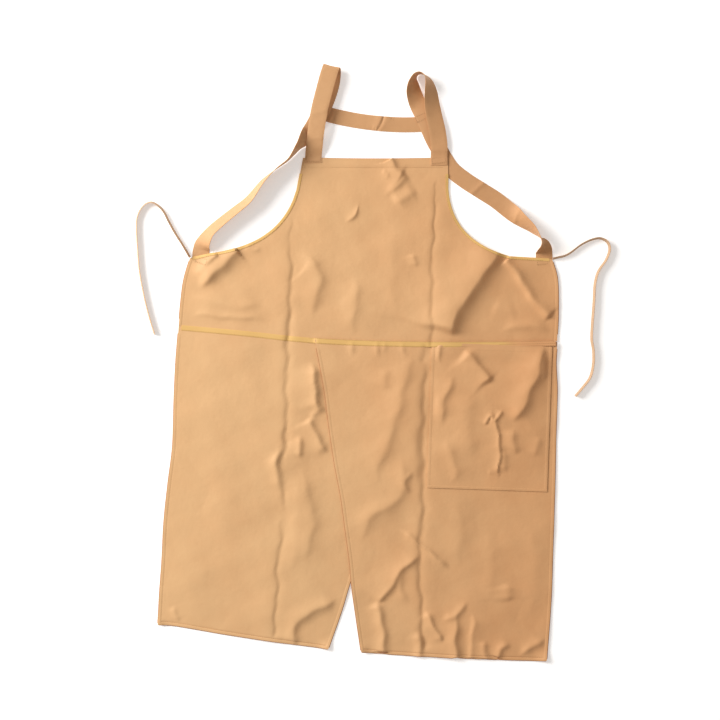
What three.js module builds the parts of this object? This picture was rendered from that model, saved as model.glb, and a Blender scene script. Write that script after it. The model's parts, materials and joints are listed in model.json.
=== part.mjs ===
// A split-skirt work apron laid out flat, front side up, with its straps and ties spread around it.
// Millimetres. +Z is up, +Y runs from the hem to the neck, +X is the right-hand side as it lies.
// The origin is the middle of the waist seam, on the surface that the apron lies on.
import * as THREE from 'three';

// ---------- driving dimensions ----------
const clothThickness = 0.6;
const hemThickness = 1.6; // cloth turned over twice
const gap = 0.3; // clearance between pieces that touch

const waistWidth = 662;
const waistDrop = { left: 25, middle: 2, right: -2 }; // how high each stretch of the waist seam lies
const overlapEdge = -100; // where the over panel's free edge meets the waist seam

const bibTopWidth = 258;
const bibHeight = 324;
const bibLean = 8; // the bib's top lies this far right of the waist's middle
const cornerInset = 9; // a side corner, where strap and tie are sewn, lies this far inside the waist
const cornerHeight = { left: 146, right: 144 };

const panelTopWidth = 431;
const hemDepth = 7;
const leftPanelLie = { length: 533, swing: -5.2, hemWidth: 306, hemSlope: -8.2 };
const rightPanelLie = { length: 569, swing: -2.0, hemWidth: 329, hemSlope: -2.8 };

const pocketWidth = 214;
const pocketHeight = 258;
const pocketDrop = 10; // from the waist seam to the pocket's mouth
const pocketInset = 9; // from the panel's side edge to the pocket
const pocketRoom = 5.5; // between the panel and the front of the pocket
const pocketSeamWidth = 5;

const strapWidth = 30;
const strapThickness = 1.6;
const footInset = { left: 3.7, right: 1 }; // from the bib's top corner to the strap's edge
const endInset = { left: 3, right: -1 }; // and from the side corner to the strap's other end
const crossStrapSag = 8.5;
const tieWidth = 10;
const tieThickness = 1.2;
const tieTilt = 72; // degrees from flat: a narrow tape lies nearly on its edge

const bindingWidth = 6;
const bindingStart = 0.36; // as a share of the armhole's straight stretch: clear of the strap's foot
const topHemDepth = 17;
const facingAbove = 12; // seam allowance on the bib's side of the waist
const facingBelow = 8; // and on the skirt's side
const bandInset = 0.8;
const bandWidth = 6.2;
const allowanceDepth = 12;
const stitchWidth = 2;
const stitchLength = 24;
const cornerClear = 34; // a side hem stops this far below the corner, clear of the strap's end
const mouthHemDepth = 12;

// Each armhole: the edge runs down and out from the bib's top corner, turns, and ends in a shallow shelf.
const armholes = {
  left: { side: -1, drop: 57, flare: 11, pull: [18, 62], turn: [127, 19], shelf: [34, 7] },
  right: { side: 1, drop: 57, flare: 0, pull: [5, 62], turn: [142, 21], shelf: [75, 4] },
};

// ---------- colours ----------
const cloth = '#e0b385';
const hemCloth = '#d9a878';
const strapCloth = '#d3a075';
const tieCloth = '#c99a72';
const gold = '#dcae62';

// ---------- heights of the layers ----------
const underlay = Math.max(hemThickness, strapThickness);
const clothZ = underlay + gap; // underside of the bib and of the under skirt panel
const clothTop = clothZ + clothThickness;
const trimZ = clothTop + gap; // underside of what lies on the bib
const overHemZ = clothTop + gap; // underside of the over panel's hems
const overZ = overHemZ + hemThickness + gap;
const overTop = overZ + clothThickness;
const pocketSeamZ = overTop + gap;
const pocketFrontZ = pocketSeamZ + pocketRoom + gap;

// ---------- points that the pieces share ----------
const radians = THREE.MathUtils.degToRad;
const at = (x, y) => new THREE.Vector2(x, y);
const moved = (p, dx, dy) => at(p.x + dx, p.y + dy);
const between = (a, b, share) => a.clone().lerp(b, share);

const waistLeft = at(-waistWidth / 2, waistDrop.left);
const waistRight = at(waistWidth / 2, waistDrop.right);
const waistKink = at(overlapEdge, waistDrop.middle);
const bibTopLeft = at(bibLean - bibTopWidth / 2, bibHeight);
const bibTopRight = at(bibLean + bibTopWidth / 2, bibHeight);
const cornerLeft = at(cornerInset - waistWidth / 2, cornerHeight.left);
const cornerRight = at(waistWidth / 2 - cornerInset, cornerHeight.right);

// A skirt panel's corners: its top edge runs along its own straight stretch of the waist seam.
function panelCorners(outerTop, side, lie) {
  const along = waistKink.clone().sub(outerTop).setLength(panelTopWidth);
  const innerTop = outerTop.clone().add(along);
  const swing = radians(lie.swing);
  const outerBottom = moved(outerTop, lie.length * Math.sin(swing), -lie.length * Math.cos(swing));
  const slope = radians(lie.hemSlope);
  const reach = side * lie.hemWidth;
  const innerBottom = moved(outerBottom, reach * Math.cos(slope), reach * Math.sin(slope));
  return { outerTop, innerTop, innerBottom, outerBottom };
}

const leftPanel = panelCorners(waistLeft, 1, leftPanelLie);
const rightPanel = panelCorners(waistRight, -1, rightPanelLie);

// ---------- outlines ----------
function outline(points) {
  return new THREE.Shape(points);
}

// A band of even width that lies on the left of the points' direction of travel.
function band(points, width) {
  const inner = points.map((p, i) => {
    const before = points[Math.max(i - 1, 0)];
    const after = points[Math.min(i + 1, points.length - 1)];
    const along = after.clone().sub(before).normalize();
    return moved(p, -along.y * width, along.x * width);
  });
  return outline([...points, ...inner.reverse()]);
}

function armholePoints(top, corner, { side, drop, flare, pull, turn, shelf }) {
  const start = moved(top, side * flare, -drop);
  const curve = new THREE.CubicBezierCurve(
    start,
    moved(start, side * pull[0], -pull[1]),
    moved(corner, -side * turn[0], turn[1]),
    moved(corner, -side * shelf[0], shelf[1]),
  );
  return [top, ...curve.getPoints(14), corner];
}

const leftArmhole = armholePoints(bibTopLeft, cornerLeft, armholes.left);
const rightArmhole = armholePoints(bibTopRight, cornerRight, armholes.right);

// ---------- solids ----------
const apron = new THREE.Group();

function add(name, geometry, colour) {
  const material = new THREE.MeshStandardMaterial({ color: colour, roughness: 0.85, metalness: 0 });
  const mesh = new THREE.Mesh(geometry, material);
  mesh.name = name;
  apron.add(mesh);
  return mesh;
}

function addFlat(name, shape, z, thickness, colour) {
  const geometry = new THREE.ExtrudeGeometry(shape, { depth: thickness, bevelEnabled: false });
  add(name, geometry, colour).position.z = z;
}

// A straight hem strip on the left of the line from a to b, with its ends drawn in.
function addStrip(name, a, b, width, z, thickness, colour, drawnIn = [0, 0]) {
  const along = b.clone().sub(a).normalize();
  const from = a.clone().addScaledVector(along, drawnIn[0]);
  const to = b.clone().addScaledVector(along, -drawnIn[1]);
  addFlat(name, band([from, to], width), z, thickness, colour);
}

function addStitching(name, middle, turn, z) {
  const geometry = new THREE.BoxGeometry(stitchLength, stitchWidth, clothThickness);
  const mesh = add(name, geometry, gold);
  mesh.position.set(middle.x, middle.y, z + clothThickness / 2);
  mesh.rotation.z = radians(turn);
}

// A flat ribbon. Each station is [point, lift, bearing, roll]: the height of its lower edge, the
// compass direction of its width and how far the width is tilted up, both in degrees.
function ribbon(stations, width, thickness, stepsEach) {
  const centres = stations.map(([p, lift, , roll]) => {
    const rise = (width / 2) * Math.abs(Math.sin(radians(roll))) + thickness / 2;
    return new THREE.Vector3(p.x, p.y, lift + rise);
  });
  const widths = stations.map(([, , bearing, roll]) => {
    const [b, r] = [radians(bearing), radians(roll)];
    return new THREE.Vector3(Math.cos(b) * Math.cos(r), Math.sin(b) * Math.cos(r), Math.sin(r));
  });
  const line = new THREE.CatmullRomCurve3(centres, false, 'centripetal');
  const turning = new THREE.CatmullRomCurve3(widths, false, 'centripetal');
  const steps = (stations.length - 1) * stepsEach;
  const corners = [];
  for (let i = 0; i <= steps; i += 1) {
    const share = i / steps;
    const tangent = line.getTangent(share);
    const across = turning.getPoint(share);
    across.addScaledVector(tangent, -across.dot(tangent)).setLength(width / 2);
    const up = across.clone().cross(tangent).setLength(thickness / 2);
    const middle = line.getPoint(share);
    const ring = [[1, 1], [-1, 1], [-1, -1], [1, -1]].map(
      ([w, u]) => middle.clone().addScaledVector(across, w).addScaledVector(up, u),
    );
    const sunk = Math.min(0, ...ring.map((corner) => corner.z)); // it rests on the surface
    for (const corner of ring) corners.push(corner.x, corner.y, corner.z - sunk);
  }
  const faces = [0, 1, 2, 0, 2, 3];
  for (let i = 0; i < steps; i += 1) {
    for (let k = 0; k < 4; k += 1) {
      const [a, b] = [4 * i + k, 4 * i + ((k + 1) % 4)];
      // Both broad faces are split along the same diagonal, so a twisted stretch keeps its thickness.
      if (k === 2) faces.push(a, a + 4, b + 4, a, b + 4, b);
      else faces.push(a, a + 4, b, b, a + 4, b + 4);
    }
  }
  const last = 4 * steps;
  faces.push(last, last + 2, last + 1, last, last + 3, last + 2);
  const geometry = new THREE.BufferGeometry();
  geometry.setAttribute('position', new THREE.Float32BufferAttribute(corners, 3));
  geometry.setIndex(faces);
  geometry.computeVertexNormals();
  return geometry;
}

// ---------- bib ----------
const seamGap = gap; // the bib's lower edge stops this far above the seam line
addFlat('bib_panel', outline([
  ...leftArmhole.slice().reverse(),
  ...rightArmhole,
  moved(waistRight, 0, seamGap),
  moved(waistKink, 0, seamGap),
  moved(waistLeft, 0, seamGap),
]), clothZ, clothThickness, cloth);

// The top hem stops short of where the right strap passes behind the bib.
addStrip('bib_top_hem', bibTopRight, bibTopLeft, topHemDepth, 0, hemThickness, hemCloth,
  [strapWidth * 1.3, 6]);
const bindingLine = ([top, start, ...rest]) => [between(top, start, bindingStart), start, ...rest];
addFlat('left_armhole_binding', band(bindingLine(leftArmhole), bindingWidth),
  trimZ, clothThickness, gold);
addFlat('right_armhole_binding', band(bindingLine(rightArmhole), -bindingWidth),
  trimZ, clothThickness, gold);
addStrip('left_bib_side_hem', cornerLeft, waistLeft, hemDepth, 0, hemThickness, hemCloth,
  [cornerClear, facingAbove + 4 * gap]);
addStrip('right_bib_side_hem', waistRight, cornerRight, hemDepth, 0, hemThickness, hemCloth,
  [facingAbove + 4 * gap, cornerClear]);

// ---------- waist seam ----------
const waistLine = [waistLeft, waistKink, waistRight];
const raised = (dy) => waistLine.map((p) => moved(p, 0, dy));
addFlat('waist_seam_facing', outline([...raised(-facingBelow), ...raised(facingAbove).reverse()]),
  0, hemThickness, hemCloth);
addFlat('waist_topstitch_band',
  outline([...raised(bandInset), ...raised(bandInset + bandWidth).reverse()]),
  trimZ, clothThickness, gold);

// ---------- skirt panels ----------
function addPanel(prefix, vent, corners, side, clothHeight, hemHeight, topClear) {
  const { outerTop, innerTop, innerBottom, outerBottom } = corners;
  addFlat(`${prefix}_panel`, outline([outerTop, innerTop, innerBottom, outerBottom]),
    clothHeight, clothThickness, cloth);
  const ends = [topClear, hemDepth + gap];
  const hem = [hemDepth * side, hemHeight, hemThickness, hemCloth];
  addStrip(`${prefix}_side_hem`, outerTop, outerBottom, ...hem, ends);
  addStrip(`${prefix}_bottom_hem`, outerBottom, innerBottom, ...hem);
  addStrip(vent, innerTop, innerBottom, -hem[0], ...hem.slice(1), ends);
}

addPanel('left_skirt', 'left_vent_hem', leftPanel, 1, clothZ, 0, facingBelow + 2 * hemDepth);
addPanel('right_skirt', 'right_vent_hem', rightPanel, -1, overZ, overHemZ,
  allowanceDepth + hemDepth / 4);
addStrip('right_skirt_seam_allowance', waistRight, rightPanel.innerTop, allowanceDepth,
  overHemZ, hemThickness, hemCloth, [hemDepth + gap, hemDepth + gap]);

// ---------- pocket ----------
// The pocket's sides run parallel to the over panel's side edge.
const panelDown = rightPanel.outerBottom.clone().sub(rightPanel.outerTop).normalize();
const panelIn = at(panelDown.y, -panelDown.x);
const onPocket = (inward, down) => rightPanel.outerTop.clone()
  .addScaledVector(panelIn, pocketInset + inward)
  .addScaledVector(panelDown, pocketDrop + down);
const pocketQuad = (in0, in1, down0, down1) => outline([
  onPocket(in0, down0), onPocket(in1, down0), onPocket(in1, down1), onPocket(in0, down1),
]);

const seamReach = pocketHeight - pocketSeamWidth - gap;
addFlat('pocket_front', pocketQuad(0, pocketWidth, 0, pocketHeight),
  pocketFrontZ, clothThickness, cloth);
addFlat('pocket_mouth_hem', pocketQuad(0, pocketWidth, 0, mouthHemDepth),
  pocketFrontZ + clothThickness + gap, clothThickness, hemCloth);
addFlat('pocket_outer_side_seam', pocketQuad(0, pocketSeamWidth, 0, seamReach),
  pocketSeamZ, pocketRoom, hemCloth);
addFlat('pocket_inner_side_seam',
  pocketQuad(pocketWidth - pocketSeamWidth, pocketWidth, 0, seamReach),
  pocketSeamZ, pocketRoom, hemCloth);
addFlat('pocket_bottom_seam',
  pocketQuad(0, pocketWidth, pocketHeight - pocketSeamWidth, pocketHeight),
  pocketSeamZ, pocketRoom, hemCloth);

// ---------- straps ----------
const stations = (origin, rows) => rows.map(([x, y, ...rest]) => [moved(origin, x, y), ...rest]);
const backLift = strapThickness + 2 * gap; // the back stretch passes over the cross strap

// Sewn to the bib's front, up and over a loop, down behind itself, a half twist, to the side corner.
const leftFoot = moved(bibTopLeft, strapWidth / 2 + footInset.left, 0);
const rightFoot = moved(bibTopRight, -strapWidth / 2 - footInset.right, 0);
const leftEnd = moved(cornerLeft, strapWidth / 2 + endInset.left, 0);
const rightEnd = moved(cornerRight, -strapWidth / 2 - endInset.right, 0);
const underBib = bibTopRight; // the right strap passes behind the bib's corner
const leftStrapStations = [
  ...stations(leftFoot, [
    [0, -9, trimZ, 0, 0], [0, 3, trimZ + gap, 0, 0], [1.8, 21, 9, -5, 0], [5.3, 50, 14, -10, 0],
    [11.3, 85, 16, -12, 0], [20.3, 121, 17, -14, 0], [27.3, 146, 18, -14, 0],
    [32.3, 161, 11, -14, 0], [33.8, 157, 4, -16, 0], [32.3, 135, backLift, -18, 0],
    [24.3, 107, backLift, -22, 0], [9.3, 73, backLift, -28, 0], [-4.7, 48, gap, -34, -10],
    [-15.7, 33, gap, -36, -45], [-25.7, 20, gap, -38, -72], [-43.7, -4, gap, -50, -90],
  ]),
  ...stations(leftEnd, [
    [136, 157, gap, -47, -95], [112, 135, gap, -43, -108], [87, 103, gap, -43, -120],
    [64, 84, gap, -51, -124], [39, 64, gap, -50, -127], [18, 45, gap, -42, -131],
    [7, 28, 0, -27, -150], [2, 14, 0, -11, -180], [0, -7, 0, -5, -180],
  ]),
];
const rightStrapStations = [
  ...stations(rightFoot, [
    [0, -13, trimZ, 0, 0], [0, 1, trimZ + gap, 0, 0], [0, 20, 6, 1, -0.5], [-3, 46, 6, 6, -8],
    [-9, 74, 4.5, 9, -14], [-13, 97, 3, 9, -24], [-15, 117, 1.5, 8, -40], [-19, 134, 0.6, 18, -60],
    [-26, 145, gap, 50, -80], [-35, 148.5, gap, 90, -90], [-43, 144, gap, 132, -102],
    [-46.5, 134, gap, 163, -122], [-46, 121, gap, 178, -146], [-42, 106, 0.8, 188, -166],
    [-36, 91, 1.6, 196, -180], [-28, 75, backLift, 200, -180], [-18, 52, backLift, 204, -180],
    [-9, 32, 1.2, 208, -180],
  ]),
  ...stations(underBib, [
    [-15, 14, gap / 2, 212, -180], [-5, -4, gap / 2, 218, -180], [7, -21, gap / 2, 226, -180],
    [30, -39.5, gap / 2, 235, -180],
  ]),
  ...stations(rightEnd, [
    [-114, 123, gap, 234, -180], [-87, 106, gap, 235, -180], [-63, 87, gap, 232, -188],
    [-42, 69, gap, 50, 45], [-21, 52, gap, 46, 70], [-6, 34, gap, 32, 100],
    [-1, 20, gap, 12, 150], [0, 9, 0, 2, 180], [0, -12, 0, 0, 180],
  ]),
];
add('left_shoulder_strap', ribbon(leftStrapStations, strapWidth, strapThickness, 6), strapCloth);
add('right_shoulder_strap', ribbon(rightStrapStations, strapWidth, strapThickness, 6), strapCloth);

// The cross strap hangs slack between the two back stretches, under them both.
const crossLeft = moved(leftFoot, 8.3, 82);
const crossRight = moved(rightFoot, -23, 60);
const crossStations = [0, 0.2, 0.4, 0.6, 0.8, 1].map((share) => {
  const sag = 4 * share * (1 - share) * crossStrapSag;
  return [moved(between(crossLeft, crossRight, share), 0, -sag), 0, 85 - 4 * share, 0];
});
add('cross_strap', ribbon(crossStations, strapWidth * 0.9, strapThickness, 3), strapCloth);

// ---------- ties ----------
// A tie's points are [x, y] from its corner; it lies nearly on edge all the way.
function tieStations(corner, points) {
  return points.map(([x, y], i) => {
    const [x0, y0] = points[Math.max(i - 1, 0)];
    const [x1, y1] = points[Math.min(i + 1, points.length - 1)];
    const heading = THREE.MathUtils.radToDeg(Math.atan2(y1 - y0, x1 - x0));
    return [moved(corner, x, y), 0, heading + 90, tieTilt];
  });
}
const leftTiePoints = [
  [0.3, 0.7], [-12, 22], [-26, 44], [-37, 64], [-47, 83], [-58, 94], [-69, 99], [-80, 95], [-88, 86],
  [-94, 71], [-95, 51], [-93, 16], [-90, -21], [-83, -61], [-74, -99], [-63, -136],
];
const rightTiePoints = [
  [1.3, 0.6], [26, 7], [53, 26], [73, 35], [86, 36.5], [98, 30], [102, 18], [96, -1], [82, -22],
  [76, -44], [74, -77], [71, -118], [70, -143], [73, -162], [73, -186], [67, -211], [52, -231],
  [41, -244],
];
add('left_tie', ribbon(tieStations(cornerLeft, leftTiePoints), tieWidth, tieThickness, 3), tieCloth);
add('right_tie', ribbon(tieStations(cornerRight, rightTiePoints), tieWidth, tieThickness, 3), tieCloth);

// ---------- stitching that holds the straps ----------
const onFrontStrap = trimZ + strapThickness + gap;
const onBackStrap = backLift + strapThickness + gap;
addStitching('left_strap_stitching', moved(leftFoot, 0, -5), 0, onFrontStrap);
addStitching('right_strap_stitching', moved(rightFoot, 0, -9), 0, onFrontStrap);
addStitching('left_corner_stitching', moved(cornerLeft, 19, -10), -20, trimZ);
addStitching('right_corner_stitching', moved(cornerRight, -18, -10), 5, trimZ);
addStitching('cross_strap_left_stitching', moved(leftFoot, 14.3, 84), -22, onBackStrap);
addStitching('cross_strap_right_stitching', moved(rightFoot, -29, 68), 24, onBackStrap);

export default apron;
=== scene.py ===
"""Looks of a bib apron with a split skirt, laid flat: cloth, hems, tapes, straps, ties and stitching.

Lengths are millimetres until a mesh is made. X runs across the apron, Y from its hem to its straps and
Z up from the table.
"""

import json
import math

import bpy
import numpy as np
from mathutils import Matrix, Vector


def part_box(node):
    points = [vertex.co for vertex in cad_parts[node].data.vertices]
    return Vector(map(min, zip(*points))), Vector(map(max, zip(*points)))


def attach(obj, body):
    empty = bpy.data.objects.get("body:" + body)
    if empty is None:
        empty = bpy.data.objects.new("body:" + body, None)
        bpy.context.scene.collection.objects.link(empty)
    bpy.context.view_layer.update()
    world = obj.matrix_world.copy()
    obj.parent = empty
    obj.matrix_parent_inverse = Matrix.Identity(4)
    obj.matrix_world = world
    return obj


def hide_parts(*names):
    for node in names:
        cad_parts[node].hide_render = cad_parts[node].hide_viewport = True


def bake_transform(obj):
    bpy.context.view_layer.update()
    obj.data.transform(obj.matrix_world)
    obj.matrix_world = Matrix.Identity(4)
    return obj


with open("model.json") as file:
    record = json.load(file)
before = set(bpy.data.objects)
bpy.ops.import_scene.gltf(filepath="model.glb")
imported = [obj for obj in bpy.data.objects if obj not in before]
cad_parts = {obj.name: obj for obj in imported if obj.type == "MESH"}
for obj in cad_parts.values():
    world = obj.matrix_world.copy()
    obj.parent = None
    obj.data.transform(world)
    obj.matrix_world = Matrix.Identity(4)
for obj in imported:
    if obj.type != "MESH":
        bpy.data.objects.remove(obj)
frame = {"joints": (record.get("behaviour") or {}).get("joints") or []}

bl_info = {
    "name": "Split-skirt apron",
    "version": (1, 0, 0),
    "blender": (4, 5, 0),
    "location": "3D Viewport > Sidebar > Apron",
    "description": "Builds a bib apron with a split skirt, a patch pocket, straps and ties",
    "category": "Add Mesh",
}

MM = 0.001
UPPER, LEFT_SKIRT, RIGHT_SKIRT = "upper", "left_skirt", "right_skirt"


# ---------- shared points ----------
def spot(x, y):
    return np.array([x, y], float)


BIB_TOP = float(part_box("bib_panel")[1][1]) / MM
BIB_LEFT, BIB_RIGHT = spot(-121, BIB_TOP), spot(137, BIB_TOP)
BIB_TOP_EDGE = [BIB_LEFT, (8, BIB_TOP - 1.5), BIB_RIGHT]
CORNER_LEFT, CORNER_RIGHT = spot(-322, 146), spot(322, 144)
LEFT_INNER_TOP, LEFT_INNER_BOTTOM = spot(98, -18), spot(-76, -549.5)

WAIST = [(-342, 26), (-319, 24), (-212, 14), (-150, 7), (-91, 2), (-4, -2), (107, -4), (230, -4), (331, -2)]
LEFT_EDGE = [
    (-342, 26), (-347, -36), (-350, -100), (-353, -190), (-361, -254), (-368, -320), (-372, -395),
    (-376, -450), (-379, -506),
]
LEFT_HEM = [(-379, -506), (-351, -508), (-262, -523), (-176, -536), (-85, -548), (-76, -549.5)]
RIGHT_EDGE = [
    (331, -2), (329, -40), (331, -89), (329, -160), (327, -250), (323, -380), (320, -463), (312, -570),
]
RIGHT_HEM = [(-17.5, -554.5), (36, -559), (173, -566), (290, -570), (312, -570)]
VENT_EDGE = [
    (-100, 1), (-84, -82), (-75, -151), (-65, -219), (-53, -283), (-46, -335), (-38, -395), (-34, -440),
    (-27, -490), (-17.5, -554.5),
]
LEFT_BIB_EDGE = [(-342, 26), (-338, 71), (-333, 107), (-322, 146)]
RIGHT_BIB_EDGE = [(331, -2), (333, 50), (331, 112), (322, 144)]


# ---------- curves ----------
def smoothstep(value, low, high):
    """0 below low, 1 above high and an even S between them."""
    share = np.clip((value - low) / (high - low), 0, 1)
    return share * share * (3 - 2 * share)


def through(points, shares):
    """The centripetal Catmull-Rom curve through the points, at shares of its stretches."""
    points = np.asarray(points, float)
    count = len(points)
    ends = (2 * points[:1] - points[1:2], points, 2 * points[-1:] - points[-2:-1])
    padded = np.concatenate(ends)
    place = np.clip(shares, 0, 1) * (count - 1)
    stretch = np.minimum(place.astype(int), count - 2)
    t = (place - stretch)[:, None]
    gaps = np.sqrt(np.linalg.norm(np.diff(padded, axis=0), axis=1))
    before, here, after = (gaps[stretch + k][:, None] for k in range(3))
    here = np.where(here < 1e-4, 1, here)
    before = np.where(before < 1e-4, here, before)
    after = np.where(after < 1e-4, here, after)
    a, b, c, d = (padded[stretch + k] for k in range(4))
    leave = here * ((b - a) / before - (c - a) / (before + here)) + c - b
    arrive = c - b - here * ((d - b) / (here + after) - (d - c) / after)
    return b + leave * t + (3 * (c - b) - 2 * leave - arrive) * t**2 + (2 * (b - c) + leave + arrive) * t**3


def run_of(line):
    """Distance along a polyline at each of its points."""
    steps = np.linalg.norm(np.diff(line, axis=0), axis=1)
    return np.concatenate([[0], np.cumsum(steps)])


def even_line(curves, shares):
    """Smooth curves joined end to end, at the given shares of their whole length."""
    fine = [through(points, np.linspace(0, 1, 24 * len(points))) for points in curves]
    line = np.concatenate([fine[0], *[part[1:] for part in fine[1:]]])
    run = run_of(line)
    return np.column_stack([np.interp(shares * run[-1], run, axis) for axis in line.T])


def length_of(curves):
    """Length of smooth curves joined end to end."""
    return run_of(even_line(curves, np.linspace(0, 1, 200)))[-1]


def inset(line, width):
    """The line moved by width to the left of its own direction."""
    along = np.gradient(line, axis=0)
    along /= np.linalg.norm(along, axis=1)[:, None]
    return line + width * np.column_stack([-along[:, 1], along[:, 0]])


def bezier(start, pull, turn, end, count=10):
    """A cubic Bezier curve's points."""
    t = np.linspace(0, 1, count)[:, None]
    start, pull, turn, end = (np.asarray(p, float) for p in (start, pull, turn, end))
    return start * (1 - t) ** 3 + 3 * pull * t * (1 - t) ** 2 + 3 * turn * t**2 * (1 - t) + end * t**3


# From each side corner of the bib along the armhole to the bib's top.
LEFT_ARMHOLE = [
    [CORNER_LEFT, (-288, 153)],
    bezier((-288, 153), (-195, 165), (-150, 205), (-132, 267)),
    [(-132, 267), BIB_LEFT],
]
RIGHT_ARMHOLE = [
    [CORNER_RIGHT, (247, 148)],
    bezier((247, 148), (180, 165), (142, 205), (137, 267)),
    [(137, 267), BIB_RIGHT],
]


def waist_y(x):
    """Where the waist seam lies along Y at a place across the apron."""
    line = even_line([WAIST], np.linspace(0, 1, 120))
    return np.interp(x, line[:, 0], line[:, 1])


# ---------- folds in the cloth ----------
# Each fold is its line, its height, which is negative for a valley, how far it spreads towards the light
# and away from it, and what share of its length it takes to fade in and out. A sharp one has an edge
# along its line, where the others are rounded.
def fold(points, rise, lit, dark, fade=(0.3, 0.3), sharp=False):
    return {"points": points, "rise": rise, "lit": lit, "dark": dark, "fade": fade, "sharp": sharp}


LEFT_PACKING = [(-142, 222), (-141, 142), (-146, 18), (-150, -64), (-150, -196)]
LEFT_CRUMPLE = [(-150, -150), (-154, -190), (-162, -222), (-158, -262), (-151, -315)]
LOWER_LEFT_PACKING = [(-151, -300), (-166, -406), (-166, -447), (-174, -534)]
RIGHT_PACKING = [(119, 290), (114, 214), (109, 150), (108, 12), (103, -39)]
LOWER_RIGHT_PACKING = [(98, -40), (95, -90), (93, -142), (93, -262), (92, -380)]
LOWEST_RIGHT_PACKING = [(92, -300), (86, -377), (91, -491), (94, -556)]
CROSS_STRAP_CREASE = [(26, 402), (9, 372)]
PACKING_FOLDS = [
    fold(LEFT_PACKING, 2.0, 42, 42, (0.3, 0.2)),
    fold(LEFT_PACKING, -2.1, 3.5, 13, (0.1, 0.05), True),
    fold([(-148, 62), (-147, 14), (-151, -30)], -1.2, 5, 10),
    fold(LEFT_CRUMPLE, 2.6, 26, 26),
    fold(LEFT_CRUMPLE, -2.9, 5, 14, (0.1, 0.3), True),
    fold(LOWER_LEFT_PACKING, 1.8, 40, 40, (0.3, 0.2)),
    fold(LOWER_LEFT_PACKING, -2.0, 3.5, 13, (0.2, 0.05), True),
    fold(RIGHT_PACKING, 1.8, 40, 40, (0.3, 0.2)),
    fold(RIGHT_PACKING, -1.8, 3.5, 12, (0.1, 0.1), True),
    fold([(116, 284), (115, 238)], -1.6, 5, 9),
    fold([(100, -2), (96, -30), (90, -44)], -1.8, 5, 12, (0.1, 0.2)),
    fold(LOWER_RIGHT_PACKING, 2.8, 40, 40, (0.2, 0.3)),
    fold(LOWER_RIGHT_PACKING, -2.8, 5, 17, (0.1, 0.2), True),
    fold([(88, -150), (87, -200), (88, -262)], -1.6, 6, 12),
]
BIB_FOLDS = [
    fold([(36, 324), (43, 306), (60, 290)], 4.2, 16, 6, (0.02, 0.2)),
    fold([(61, 292), (48, 277), (22, 252)], 3.6, 16, 8, (0.1, 0.6)),
    fold([(82, 268), (61, 253), (39, 240)], 3.4, 16, 10),
    fold([(18, 305), (34, 291)], 1.4, 6, 3),
    fold([(-22, 244), (-28, 224), (-46, 205)], 2.6, 8, 2.6, (0.4, 0.4), True),
    fold([(-130, 156), (-104, 138), (-92, 106), (-100, 72), (-106, 36)], 4.0, 30, 12, (0.3, 0.3)),
    fold([(-24, 114), (-30, 60), (-34, 6)], 3.2, 30, 12),
    fold([(78, 154), (78, 126)], 1.8, 10, 6),
    fold([(-238, 158), (-262, 132), (-283, 116), (-306, 92)], 8.0, 26, 11, (0.02, 0.3)),
    fold([(-272, 152), (-296, 130)], 3.2, 10, 5, (0.1, 0.5)),
    fold([(-324, 44), (-251, 42), (-178, 35)], 2.2, 9, 5),
    fold([(-322, 78), (-250, 62), (-190, 60)], 2.4, 16, 12),
    fold([(-226, 172), (-206, 160), (-196, 168)], 1.6, 8, 6),
    fold([(244, 188), (221, 153), (197, 115), (171, 78), (150, 42), (141, 6)], 12.5, 60, 13, (0.3, 0.08)),
    fold([(238, 142), (276, 90), (321, 38)], 6.5, 7, 13, (0.01, 0.05)),
    fold([(232, 14), (262, 26), (292, 24), (318, 12)], 2.8, 13, 8),
    fold([(212, 60), (240, 50), (262, 52)], 1.4, 16, 10),
    fold([(46, 206), (34, 120), (46, 36)], 1.6, 30, 18),
]
LEFT_FOLDS = [
    fold([(-106, -34), (-99, -80), (-92, -134)], 6.6, 20, 6, (0.25, 0.2), True),
    fold([(-84, -120), (-111, -140)], 2.6, 7, 7, (0.1, 0.2)),
    fold([(-113, -137), (-99, -164), (-76, -200)], 4.6, 16, 5, (0.15, 0.2), True),
    fold([(-125, -170), (-127, -214)], 3.2, 9, 4.5),
    fold([(-162, -190), (-168, -212), (-162, -240), (-156, -274)], 4.0, 11, 6),
    fold([(-122, -222), (-110, -292), (-104, -335), (-124, -398)], 3.4, 30, 13),
    fold([(-58, -462), (-103, -479), (-134, -506), (-140, -544)], 4.6, 18, 9, (0.2, 0.12)),
    fold([(-128, -240), (-134, -330), (-140, -420)], 1.4, 14, 20),
    fold([(-350, -470), (-342, -502)], 1.6, 8, 6),
    fold([(-260, -60), (-250, -220), (-262, -360)], 1.4, 60, 40),
    fold([(-310, -330), (-300, -440), (-306, -520)], 1.2, 44, 30),
]
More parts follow.
